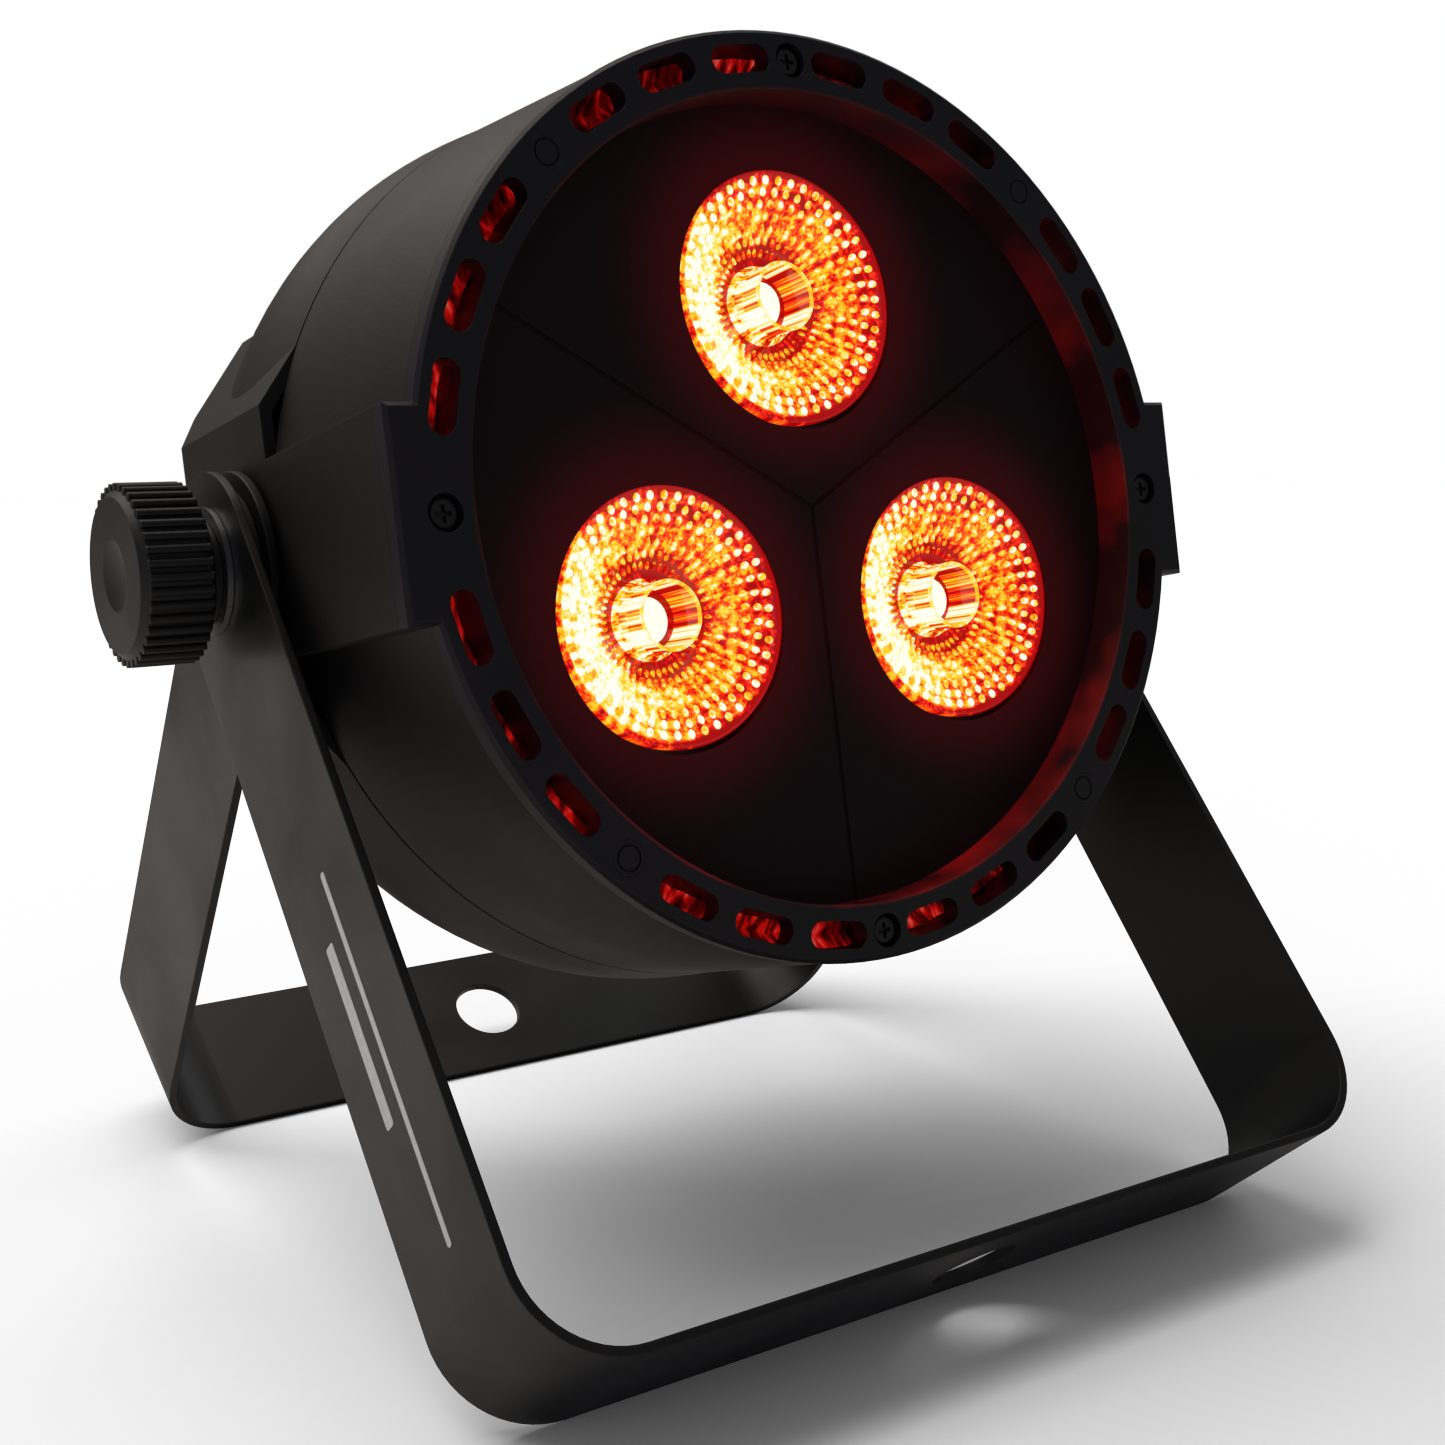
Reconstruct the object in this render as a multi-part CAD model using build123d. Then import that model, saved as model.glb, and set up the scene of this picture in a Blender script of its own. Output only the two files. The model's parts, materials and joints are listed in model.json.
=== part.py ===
from build123d import *
import os
from math import acos, atan2, cos, degrees, hypot, radians, sin

# A small LED par can light on a split yoke. Millimetres, +Z up. The light shines towards -Y.
# The origin is on the floor, below the middle of the whole light as it stands on its two yokes.
# The head is drawn about its tilt axis, which is the X axis of its own frame, and then placed.

# ---- stance ----
TILT = 11.5             # head, pointing up from level
FRONT_LEAN = 41.1       # front yoke, forward from straight down
STRAP_WIDTH = 34.0
STRAP = 1.5             # yoke sheet thickness
STRAP_BEND = 17.5       # outer radius of a yoke's two bends
FRONT_ARM_X, FRONT_DROP = 90.0, 151.9   # outer face of the arms, tilt axis to the bar's outer face
REAR_ARM_X, REAR_DROP = 85.9, 138.8
HANG_HOLE_R = 7.75      # clamp hole in the middle of each yoke's bar

PIVOT_Z = FRONT_DROP * cos(radians(FRONT_LEAN)) + STRAP_WIDTH / 2 * sin(radians(FRONT_LEAN))
REAR_LEAN = degrees(atan2(STRAP_WIDTH / 2, REAR_DROP) + acos(PIVOT_Z / hypot(REAR_DROP, STRAP_WIDTH / 2)))
FRONT_REACH = FRONT_DROP * sin(radians(FRONT_LEAN)) + STRAP_WIDTH / 2 * cos(radians(FRONT_LEAN))
REAR_REACH = REAR_DROP * sin(radians(REAR_LEAN)) + STRAP_WIDTH / 2 * cos(radians(REAR_LEAN))
PIVOT_Y = (FRONT_REACH - REAR_REACH) / 2

# ---- side stack, outwards along X from the housing's flat side ----
SIDE_X = 83.3           # flat side of the housing
INSERT_X0, INSERT_R = 71.3, 6.0
INNER_WASHER = (83.3, 84.3)
SPACER = (86.0, 88.4)
KNOB_WASHER = (90.1, 91.1)
KNOB_HUB = (91.15, 94.1)
KNOB_GRIP = (94.1, 106.7)
WASHER_R, KNOB_WASHER_R = 14.0, 11.0
KNOB_R, KNOB_HUB_R, KNOB_RIBS = 15.5, 9.0, 40
SCREW_R = 4.0           # M8
RUN_FIT = 0.08          # radial clearance on the screw
SCREW_X = (73.0, 100.0)

# ---- head, along Y, front to back ----
WALL = 2.2
FACE_Y, SHELL_Y, SEAM_Y, BACK_Y = -62.0, -58.0, -14.0, 46.0
BEZEL_R, BEZEL_HOLE_R = 80.0, 70.0
SEAM_R, DOME_R, SHOULDER_R, BACK_R = 83.6, 85.2, 79.5, 62.5
DOME_Y, SHOULDER_Y = 6.0, 28.0
BLOCK_Z = 16.8          # half height of the flat blocks beside the bezel
POD_Z, POD_TOP_X, POD_TOP_Z, POD_Y = 26.0, 67.0, 47.0, 31.0
POST_RING_R = 75.1      # circle of screws, plugs and slots on the bezel
SLOT_ANGLES = (13.5, 26, 38, 58, 70, 82)
SLOT_LENGTH, SLOT_WIDTH = 12.0, 4.7
SCREW_ANGLES = (0, 90, 180, 270)
PLUG_ANGLES = (48, 132, 228, 312)
SHELL_SCREW_ANGLES, SHELL_SCREW_RING = (45, 135, 225, 315), 74.0

# ---- lamp ----
PANEL_Y, PANEL_BACK_Y, PANEL_R = -54.0, -51.5, 71.45
LENS_RING_R = 36.2
LENS_ANGLES = {"top": 90, "left": 210, "right": 330}
LENS_R, LENS_LIP_R, LENS_WELL_R = 23.0, 22.6, 6.25
SINK_Y, SINK_BACK_Y, FIN_Y, SINK_R, FIN_R = -34.2, -30.2, -10.0, 62.0, 50.0
FIN_PITCH, FIN = 6.5, 1.6
BETWEEN_LENSES = (30, 150, 270)
SINK_SCREW_RING, STANDOFF_RING = 57.0, 48.0

# ---- rear ----
PLATE_W, PLATE_H, PLATE = 96.0, 74.0, 1.6
CUTOUT_W, CUTOUT_H = 84.0, 62.0
PLATE_Y = BACK_Y + PLATE
FLANGE_Y = PLATE_Y + 1.8
DMX_IN_X, DMX_OUT_X, INLET_X, SOCKET_Z = -29.0, -1.0, 28.0, -15.0
DMX_BODY_R, DMX_BORE_R, DMX_FLOOR_Y = 11.8, 9.5, 35.4
KEYS = {"menu": 4.0, "down": 15.0, "up": 26.0, "enter": 37.0}
KEY_Z, KEY_R = 19.0, 4.0
DISPLAY_X, DISPLAY_W, DISPLAY_H = -24.0, 36.0, 14.0
MIC_X, MIC_Z = 9.5, 27.5
BOARD_Y, BOARD = -4.0, 1.6
BOARD_POSTS = [(x, z) for x in (-50.0, 50.0) for z in (-23.0, 23.0)]
PLATE_POSTS = [(x, z) for x in (-44.5, 44.5) for z in (-33.5, 33.5)]
CONTROL_BOARD_Y = 38.0
EYE_Z, EYE_RING_R, EYE_WIRE_R = 49.0, 7.0, 1.75
EYE_SCREW_X = (-11.6, 11.6)


def box(x0, x1, y0, y1, z0, z1):
    """A box between two corners."""
    return Pos((x0 + x1) / 2, (y0 + y1) / 2, (z0 + z1) / 2) * Box(x1 - x0, y1 - y0, z1 - z0)


def rod_y(r, y0, y1, x=0.0, z=0.0):
    """A cylinder along Y."""
    return Pos(x, (y0 + y1) / 2, z) * Rot(90, 0, 0) * Cylinder(r, y1 - y0)


def rod_x(r, x0, x1, y=0.0, z=0.0):
    """A cylinder along X."""
    return Pos((x0 + x1) / 2, y, z) * Rot(0, 90, 0) * Cylinder(r, x1 - x0)


def turned(points):
    """A solid turned about Y from an outline of (radius, y) points."""
    return revolve(make_face(Polyline(*points, close=True)), Axis.Y)


def turned_x(points):
    """A solid turned about X from an outline of (x, radius) points."""
    return revolve(make_face(Polyline(*points, close=True)), Axis.X)


def around(shape, angles):
    """Copies of a shape drawn on +X, turned about Y to each angle, measured from +X up to +Z."""
    return [Rot(0, -angle, 0) * shape for angle in angles]


def ring_points(radius, angles):
    """The (x, z) points of a circle at some angles."""
    return [(radius * cos(radians(a)), radius * sin(radians(a))) for a in angles]


def mirrored(shape):
    """The same piece on the other side of the light."""
    return mirror(shape, about=Plane.YZ)


# ---------------------------------------------------------------- yokes and knobs
def yoke(arm_x, drop):
    """A strap bent to a U that hangs from the tilt axis, with full-round ends and a clamp hole."""
    half = STRAP_WIDTH / 2
    outer = box(-arm_x, arm_x, -half, half, -drop, half)
    outer = fillet(outer.edges().filter_by(Axis.Y).group_by(Axis.Z)[0], STRAP_BEND)
    inner = box(-arm_x + STRAP, arm_x - STRAP, -half - 1, half + 1, -drop + STRAP, half + 1)
    inner = fillet(inner.edges().filter_by(Axis.Y).group_by(Axis.Z)[0], STRAP_BEND - STRAP)
    side = box(-arm_x - 1, arm_x + 1, -half, half, -drop - 1, 0) + rod_x(half, -arm_x - 1, arm_x + 1)
    bar_hole = Pos(0, 0, -drop) * Cylinder(HANG_HOLE_R, 4 * STRAP)
    return (outer - inner) & side - rod_x(SCREW_R + RUN_FIT, -arm_x - 1, arm_x + 1) - bar_hole


def washer(span, radius, bore=SCREW_R + RUN_FIT):
    """A flat washer on the tilt axis."""
    return rod_x(radius, *span) - rod_x(bore, span[0] - 1, span[1] + 1)


def knob():
    """The ribbed hand knob, with a hub inboard and a shallow dimple in its outer face."""
    x0, x1 = KNOB_GRIP
    root = KNOB_R - 0.9
    core = turned_x([(KNOB_HUB[0], 0), (KNOB_HUB[0], KNOB_HUB_R), (x0, KNOB_HUB_R), (x0, root - 1),
                     (x0 + 1, root), (x1 - 1.4, root), (x1, root - 1.4), (x1, 0)])
    rib = rod_x(0.75, x0 + 0.8, x1 - 1.0, z=KNOB_R - 0.75)
    ribs = [Rot(360 / KNOB_RIBS * i, 0, 0) * rib for i in range(KNOB_RIBS)]
    dimple = Pos(x1 + 22.5, 0, 0) * Sphere(23.3)
    return core + ribs - dimple - rod_x(SCREW_R, KNOB_HUB[0] - 1, SCREW_X[1])


def knob_screw():
    """The M8 screw moulded into the knob."""
    return chamfer(rod_x(SCREW_R, *SCREW_X).edges().group_by(Axis.X)[0], 0.8)


def threaded_insert():
    """The brass bush in the housing that takes the knob's screw."""
    return rod_x(INSERT_R, INSERT_X0, SIDE_X) - rod_x(SCREW_R + 0.05, INSERT_X0 - 1, SIDE_X + 1)


# ---------------------------------------------------------------- front of the head
def all_slot_angles():
    """The slot angles of one quadrant, repeated in all four."""
    upper = list(SLOT_ANGLES) + [180 - a for a in SLOT_ANGLES]
    return upper + [360 - a for a in upper]


def front_bezel():
    """The flat front ring with its two ears, light slots and the collar that holds the lens panel."""
    ring = rod_y(BEZEL_R, FACE_Y, SHELL_Y) + box(-SIDE_X, SIDE_X, FACE_Y, SHELL_Y, -BLOCK_Z, BLOCK_Z)
    ring = chamfer(ring.faces().sort_by(Axis.Y)[0].edges(), 0.7)
    collar_r = POST_RING_R - SLOT_WIDTH / 2 - 0.15
    collar = rod_y(collar_r, SHELL_Y, PANEL_BACK_Y) - rod_y(PANEL_R + 0.05, PANEL_Y, PANEL_BACK_Y)
    bezel = ring + collar - rod_y(BEZEL_HOLE_R, FACE_Y - 1, PANEL_BACK_Y)
    straight = (SLOT_LENGTH - SLOT_WIDTH) / 2
    half = SLOT_WIDTH / 2
    slot = box(POST_RING_R - half, POST_RING_R + half, FACE_Y - 1, SHELL_Y + 1, -straight, straight)
    slot += rod_y(half, FACE_Y - 1, SHELL_Y + 1, POST_RING_R, straight)
    slot += rod_y(half, FACE_Y - 1, SHELL_Y + 1, POST_RING_R, -straight)
    screw_hole = rod_y(3.0, FACE_Y - 1, FACE_Y + 2.5, POST_RING_R)
    screw_hole += rod_y(1.2, FACE_Y, SHELL_Y + 1, POST_RING_R)
    plug_hole = rod_y(3.0, FACE_Y - 1, FACE_Y + 1.5, POST_RING_R)
    plug_hole += rod_y(1.8, FACE_Y, SHELL_Y + 1, POST_RING_R)
    cuts = around(slot, all_slot_angles()) + around(screw_hole, SCREW_ANGLES) + around(plug_hole, PLUG_ANGLES)
    return bezel - cuts


def cross_screw(head_r, head, shank_r, length, y_seat, x, z, towards_back=True):
    """A cross-head screw on Y. Its head's underside is at y_seat, and the shank runs from there."""
    way = 1 if towards_back else -1
    ends = sorted((y_seat, y_seat + way * length))
    top = sorted((y_seat, y_seat - way * head))
    face = y_seat - way * head
    deep = sorted((face - way * 0.5, face + way * head * 0.55))
    screw = rod_y(shank_r, *ends, x, z) + rod_y(head_r, *top, x, z)
    arm, bar = head_r * 0.62, head_r * 0.16
    screw -= box(x - arm, x + arm, *deep, z - bar, z + bar)
    return screw - box(x - bar, x + bar, *deep, z - arm, z + arm)


def group(pieces):
    """Identical loose pieces that share one node."""
    return Compound(children=[piece.solid() for piece in pieces])


def bezel_plugs():
    """Four flush round plugs with a fine ring groove, snapped through the bezel into the shell."""
    plug = rod_y(2.95, FACE_Y, FACE_Y + 1.5, POST_RING_R)
    plug += rod_y(1.75, FACE_Y + 1, SHELL_Y + 6, POST_RING_R)
    groove = rod_y(2.3, FACE_Y - 1, FACE_Y + 0.4, POST_RING_R)
    plug -= groove - rod_y(1.9, FACE_Y - 1, FACE_Y + 1, POST_RING_R)
    return group(around(plug, PLUG_ANGLES))


def lens_panel():
    """The round mask over the lamp, with a lens hole and lip at each lens and fine radial grooves."""
    panel = rod_y(PANEL_R, PANEL_Y, PANEL_BACK_Y)
    for x, z in ring_points(LENS_RING_R, LENS_ANGLES.values()):
        panel -= rod_y(LENS_LIP_R, PANEL_Y - 1, PANEL_BACK_Y + 1, x, z)
        panel -= rod_y(LENS_R + 0.15, PANEL_Y + 0.4, PANEL_BACK_Y + 1, x, z)
    groove = box(-0.2, PANEL_R - 0.5, PANEL_Y - 1, PANEL_Y + 0.5, -0.4, 0.4)
    return panel - around(groove, BETWEEN_LENSES)


def panel_standoffs():
    """Three posts between the heat sink and the lens panel."""
    return group(around(rod_y(3.0, PANEL_BACK_Y, SINK_Y, STANDOFF_RING), BETWEEN_LENSES))


def lens():
    """A moulded collimator with a flange, a conical body and a deep round well, drawn on the Y axis."""
    return turned([(0, -44), (0, -41.5), (5, -41), (5, -39), (7.5, -39), (21.2, -51.4), (LENS_R, -51.4),
                   (LENS_R, PANEL_Y + 0.4), (LENS_WELL_R, PANEL_Y + 0.4), (LENS_WELL_R, -44)])


def lens_holder():
    """The cup that carries a lens over its lamp."""
    return turned([(21.6, -51.4), (24, -51.4), (24, SINK_Y), (11, SINK_Y), (11, -38.5), (8.4, -38.5),
                   (8.4, -39.2)])


def led():
    """A lamp board with its emitter and dome."""
    board = rod_y(10.0, SINK_Y - 1.6, SINK_Y)
    dome = Pos(0, SINK_Y - 2.4, 0) * Sphere(3.2) & rod_y(4, SINK_Y - 8, SINK_Y - 2)
    return board + box(-4.4, 4.4, SINK_Y - 2.4, SINK_Y - 1.5, -4.4, 4.4) + dome


def heat_sink():
    """The aluminium plate behind the lamps, with upright fins."""
    sink = rod_y(SINK_R, SINK_Y, SINK_BACK_Y)
    count = int(FIN_R // FIN_PITCH)
    for i in range(-count, count + 1):
        x = i * FIN_PITCH
        half = (FIN_R ** 2 - x ** 2) ** 0.5
        sink += box(x - FIN / 2, x + FIN / 2, SINK_BACK_Y - 0.5, FIN_Y, -half, half)
    return sink - [rod_y(1.4, SINK_Y - 1, SINK_BACK_Y + 1, x, z)
                   for x, z in ring_points(SINK_SCREW_RING, BETWEEN_LENSES)]


def heat_sink_screws():
    """Three screws that hold the heat sink on the shell's ledges."""
    return group([cross_screw(2.7, 1.8, 1.4, 7.0, SINK_Y, x, z)
                  for x, z in ring_points(SINK_SCREW_RING, BETWEEN_LENSES)])


# ---------------------------------------------------------------- housing
def front_shell():
    """The flared front half of the housing, with side blocks, screw posts and heat sink ledges."""
    wall = turned([(BEZEL_R - WALL, SHELL_Y), (BEZEL_R, SHELL_Y), (SEAM_R - 0.05, SEAM_Y - 0.6),
                   (SEAM_R - 0.6, SEAM_Y), (SEAM_R - WALL, SEAM_Y)])
    inside = turned([(0, SHELL_Y), (BEZEL_R - WALL / 2, SHELL_Y), (SEAM_R - WALL / 2, SEAM_Y), (0, SEAM_Y)])
    block = box(-SIDE_X, SIDE_X, SHELL_Y, SEAM_Y, -BLOCK_Z, BLOCK_Z)
    block -= box(-SIDE_X + WALL, SIDE_X - WALL, SHELL_Y - 1, SEAM_Y + 1, -BLOCK_Z + WALL, BLOCK_Z - WALL)
    shell = wall + (block - inside)
    bezel_post = rod_y(2.4, SHELL_Y, SHELL_Y + 14, POST_RING_R)
    bezel_post += box(POST_RING_R, BEZEL_R - WALL / 4, SHELL_Y, SHELL_Y + 14, -1.5, 1.5)
    ledge = box(SINK_SCREW_RING - 4, SEAM_R - WALL, SINK_BACK_Y, SINK_BACK_Y + 4, -5, 5)
    seam_post = rod_y(4.0, SEAM_Y - 14, SEAM_Y, SHELL_SCREW_RING)
    seam_post += box(SHELL_SCREW_RING, SEAM_R - WALL * 0.8, SEAM_Y - 14, SEAM_Y, -1.5, 1.5)
    shell += around(bezel_post, SCREW_ANGLES + PLUG_ANGLES)
    shell += around(ledge, BETWEEN_LENSES)
    shell += around(seam_post, SHELL_SCREW_ANGLES)
    shell -= around(rod_y(1.2, SHELL_Y - 1, SHELL_Y + 12, POST_RING_R), SCREW_ANGLES)
    shell -= around(rod_y(1.8, SHELL_Y - 1, SHELL_Y + 8, POST_RING_R), PLUG_ANGLES)
    shell -= around(rod_y(1.4, SINK_BACK_Y - 1, SINK_BACK_Y + 5, SINK_SCREW_RING), BETWEEN_LENSES)
    return shell - around(rod_y(1.5, SEAM_Y - 12, SEAM_Y + 1, SHELL_SCREW_RING), SHELL_SCREW_ANGLES)


def bezel_screws():
    """Four screws through the bezel into the front shell."""
    return group([cross_screw(2.2, 1.6, 1.2, 12.0, FACE_Y + 2.5, x, z)
                  for x, z in ring_points(POST_RING_R, SCREW_ANGLES)])


def rear_volume(inset):
    """The rear half's outer volume for no inset, or its hollow for the wall's thickness."""
    shoulder = (SHOULDER_R - inset * 0.9, SHOULDER_Y - inset * 0.5)
    arc = Spline((SEAM_R - inset, SEAM_Y), (DOME_R - inset, DOME_Y), shoulder,
                 (BACK_R - inset * 0.3, BACK_Y - inset), tangents=((0.09, 1), (-1, 0.55)))
    rest = Polyline(arc @ 1, (0, BACK_Y - inset), (0, SEAM_Y), arc @ 0)
    dome = revolve(make_face([arc, rest]), Axis.Y)
    side, top_x, top_z = SIDE_X - inset, POD_TOP_X - inset * 0.6, POD_TOP_Z - inset * 0.8
    edge_z = POD_Z - inset * 0.55
    outline = Polyline((side, -edge_z), (side, edge_z), (top_x, top_z), (-top_x, top_z), (-side, edge_z),
                       (-side, -edge_z), (-top_x, -top_z), (top_x, -top_z), close=True)
    pods = Pos(0, POD_Y - inset, 0) * extrude(make_face(Plane.XZ * outline), POD_Y - inset - SEAM_Y)
    pods = chamfer(pods.edges().filter_by(Axis.Z).group_by(Axis.Y)[-1], 5.0)
    return (dome + pods) & box(-side, side, SEAM_Y, BACK_Y, -DOME_R, DOME_R)


def rear_shell():
    """The domed rear half, with flat sides for the yokes, pivot bosses, posts and screw tunnels."""
    outer = rear_volume(0.0)
    shell = outer - rear_volume(WALL)
    boss = rod_x(10.0, INSERT_X0 - 2, SIDE_X - WALL / 2)
    boss += box(INSERT_X0, SIDE_X - WALL / 2, -1.5, 1.5, -POD_Z, POD_Z)
    shell += boss
    shell += mirrored(boss)
    shell += [rod_y(3.2, BOARD_Y + BOARD, BACK_Y - 1, x, z) for x, z in BOARD_POSTS]
    shell += [rod_y(2.8, BACK_Y - 10, BACK_Y - 1, x, z) for x, z in PLATE_POSTS]
    tunnel = rod_y(6.0, SEAM_Y, BACK_Y, SHELL_SCREW_RING)
    shell += [tube & outer for tube in around(tunnel, SHELL_SCREW_ANGLES)]
    shell -= around(rod_y(4.0, SEAM_Y + 10, BACK_Y + 1, SHELL_SCREW_RING), SHELL_SCREW_ANGLES)
    shell -= around(rod_y(1.5, SEAM_Y - 1, SEAM_Y + 11, SHELL_SCREW_RING), SHELL_SCREW_ANGLES)
    shell -= box(-CUTOUT_W / 2, CUTOUT_W / 2, BACK_Y - WALL - 1, BACK_Y + 1, -CUTOUT_H / 2, CUTOUT_H / 2)
    shell -= [rod_y(1.2, BOARD_Y, BOARD_Y + 14, x, z) for x, z in BOARD_POSTS]
    shell -= [rod_y(1.2, BACK_Y - 9, BACK_Y + 1, x, z) for x, z in PLATE_POSTS]
    shell -= [rod_y(1.5, BACK_Y - 9, BACK_Y + 1, x, EYE_Z) for x in EYE_SCREW_X]
    pivot_bore = rod_x(INSERT_R, INSERT_X0, SIDE_X + 1) + rod_x(SCREW_R + 1, INSERT_X0 - 3, INSERT_X0)
    return shell - pivot_bore - mirrored(pivot_bore)


def shell_screws():
    """Four long screws that pull the two halves of the housing together from behind."""
    return group([cross_screw(3.4, 2.2, 1.5, 21.0, SEAM_Y + 10, x, z, towards_back=False)
                  for x, z in ring_points(SHELL_SCREW_RING, SHELL_SCREW_ANGLES)])


# ---------------------------------------------------------------- electronics
def driver_board():
    """The power and driver board behind the heat sink, with its small parts."""
    board = box(-56, 56, BOARD_Y, BOARD_Y + BOARD, -29, 29)
    top = BOARD_Y + BOARD
    board += box(20, 34, top, top + 9, -24, -8)
    board += [box(-44 + 9 * i, -38 + 9 * i, top, top + 6, 12, 20) for i in range(4)]
    board += box(8, 18, top, top + 3, 4, 14)
    return board - [rod_y(1.2, BOARD_Y - 1, top + 1, x, z) for x, z in BOARD_POSTS]


def transformer():
    """The supply's transformer on the driver board, with core and winding."""
    y = BOARD_Y + BOARD
    core = box(-32, -4, y, y + 5, -20, 2) + box(-32, -4, y + 14, y + 18, -20, 2)
    return core + box(-28, -8, y + 5, y + 14, -17, -1)


def capacitors():
    """Three upright capacitors on the driver board."""
    y = BOARD_Y + BOARD
    large = [rod_y(5.0, y, y + 15, 4, -14), rod_y(5.0, y, y + 15, 40, 10)]
    return group(large + [rod_y(4.0, y, y + 12, 28, 12)])


def board_screws():
    """Four screws that hold the driver board on the rear shell's posts."""
    return group([cross_screw(2.6, 1.7, 1.2, 11.0, BOARD_Y, x, z) for x, z in BOARD_POSTS])


def control_panel():
    """The rear plate with its cut-outs for sockets, display, keys and microphone."""
    plate = box(-PLATE_W / 2, PLATE_W / 2, BACK_Y, PLATE_Y, -PLATE_H / 2, PLATE_H / 2)
    plate = fillet(plate.edges().filter_by(Axis.Y), 4.0)
    y = (BACK_Y - 1, PLATE_Y + 1)
    plate -= [rod_y(DMX_BODY_R, *y, x, SOCKET_Z) for x in (DMX_IN_X, DMX_OUT_X)]
    plate -= box(DMX_OUT_X - 3.6, DMX_OUT_X + 3.6, *y, -2.9, -0.5)
    plate -= box(INLET_X - 13, INLET_X + 13, *y, SOCKET_Z - 14.5, SOCKET_Z + 14.5)
    half_w, half_h = DISPLAY_W / 2, DISPLAY_H / 2
    plate -= box(DISPLAY_X - half_w, DISPLAY_X + half_w, *y, KEY_Z - half_h, KEY_Z + half_h)
    plate -= [rod_y(KEY_R + RUN_FIT, *y, x, KEY_Z) for x in KEYS.values()]
    plate -= [rod_y(1.2, *y, x, z) for x, z in PLATE_POSTS + flange_points()]
    return plate - rod_y(1.0, *y, MIC_X, MIC_Z)


def panel_screws():
    """Four screws at the corners of the rear plate."""
    return group([cross_screw(2.4, 1.6, 1.2, 8.5, PLATE_Y, x, z, towards_back=False) for x, z in PLATE_POSTS])


def display_window():
    """The smoked window over the display, flush with the plate."""
    return box(DISPLAY_X - DISPLAY_W / 2, DISPLAY_X + DISPLAY_W / 2, 45.0, PLATE_Y,
               KEY_Z - DISPLAY_H / 2, KEY_Z + DISPLAY_H / 2)


def display():
    """The four-digit display module on the control board."""
    y0 = CONTROL_BOARD_Y + BOARD
    module = box(DISPLAY_X - 16, DISPLAY_X + 16, y0, 44.8, KEY_Z - 6.5, KEY_Z + 6.5)
    return module - [box(DISPLAY_X - 13.6 + 7 * i, DISPLAY_X - 7.4 + 7 * i, 44.4, 45, KEY_Z - 5, KEY_Z + 5)
                     for i in range(4)]


def control_board():
    """The small board behind the rear plate, with a switch under each key."""
    board = box(-41, 41, CONTROL_BOARD_Y, CONTROL_BOARD_Y + BOARD, 6, 32)
    top = CONTROL_BOARD_Y + BOARD
    return board + [box(x - 3, x + 3, top, top + 1.6, KEY_Z - 3, KEY_Z + 3) for x in KEYS.values()]


def control_board_standoffs():
    """Four posts between the control board and the rear plate."""
    return group([rod_y(1.9, CONTROL_BOARD_Y + BOARD, BACK_Y, x, z)
                  for x in (-38.5, 38.5) for z in (9.0, 29.0)])


def microphone():
    """The sound sensor behind its small hole."""
    return rod_y(3.0, CONTROL_BOARD_Y + BOARD, BACK_Y, MIC_X, MIC_Z)


def key(x):
    """A round key with a flange behind the plate and a stem over its switch."""
    cap = rod_y(KEY_R, 43.5, FLANGE_Y + 0.6, x, KEY_Z)
    cap = fillet(cap.edges().group_by(Axis.Y)[-1], 0.8)
    return cap + rod_y(KEY_R + 0.8, 43.5, 44.7, x, KEY_Z) + rod_y(1.6, 42.0, 44, x, KEY_Z)


# ---------------------------------------------------------------- sockets
def flange_points():
    """The two screw holes of each data socket."""
    return [(x + s * 9.6, SOCKET_Z + s * 12.2) for x in (DMX_IN_X, DMX_OUT_X) for s in (-1, 1)]


def dmx_shell(x):
    """A data socket's square flange and round body, not yet hollowed."""
    flange = box(x - 13, x + 13, PLATE_Y, FLANGE_Y, SOCKET_Z - 15.5, SOCKET_Z + 15.5)
    flange = fillet(flange.edges().filter_by(Axis.Y), 3.0)
    flange -= [rod_y(1.2, PLATE_Y - 1, FLANGE_Y + 1, px, pz) for px, pz in flange_points()]
    return flange + rod_y(DMX_BODY_R, DMX_FLOOR_Y - 5, PLATE_Y, x, SOCKET_Z)


def dmx_pin_points(x):
    """The three contacts of a data socket."""
    return [(x + px, SOCKET_Z + pz) for px, pz in ring_points(5.4, (25, 155, 270))]


def dmx_in():
    """The data inlet, an open round well with three pins."""
    bore = rod_y(DMX_BORE_R, DMX_FLOOR_Y, FLANGE_Y + 1, DMX_IN_X, SOCKET_Z)
    return dmx_shell(DMX_IN_X) - bore - [rod_y(1.2, 28, FLANGE_Y, x, z) for x, z in dmx_pin_points(DMX_IN_X)]


def dmx_in_pins():
    """The data inlet's three pins."""
    return group([rod_y(1.2, 29, FLANGE_Y - 3, x, z) for x, z in dmx_pin_points(DMX_IN_X)])


def dmx_out():
    """The data outlet, a round plug-like core with three holes in a narrow ring gap."""
    gap = rod_y(DMX_BORE_R, DMX_FLOOR_Y, FLANGE_Y + 1, DMX_OUT_X, SOCKET_Z)
    gap -= rod_y(7.8, DMX_FLOOR_Y, FLANGE_Y, DMX_OUT_X, SOCKET_Z)
    holes = [rod_y(1.3, DMX_FLOOR_Y, FLANGE_Y + 1, x, z) for x, z in dmx_pin_points(DMX_OUT_X)]
    latch_slot = box(DMX_OUT_X - 3.6, DMX_OUT_X + 3.6, PLATE_Y - 1, FLANGE_Y + 1, -2.9, -0.5)
    return dmx_shell(DMX_OUT_X) - gap - holes - latch_slot


def dmx_latch():
    """The press tab that frees a plug from the data outlet."""
    return box(DMX_OUT_X - 3.5, DMX_OUT_X + 3.5, 42.0, FLANGE_Y + 1.8, -2.8, -0.6)


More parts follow.
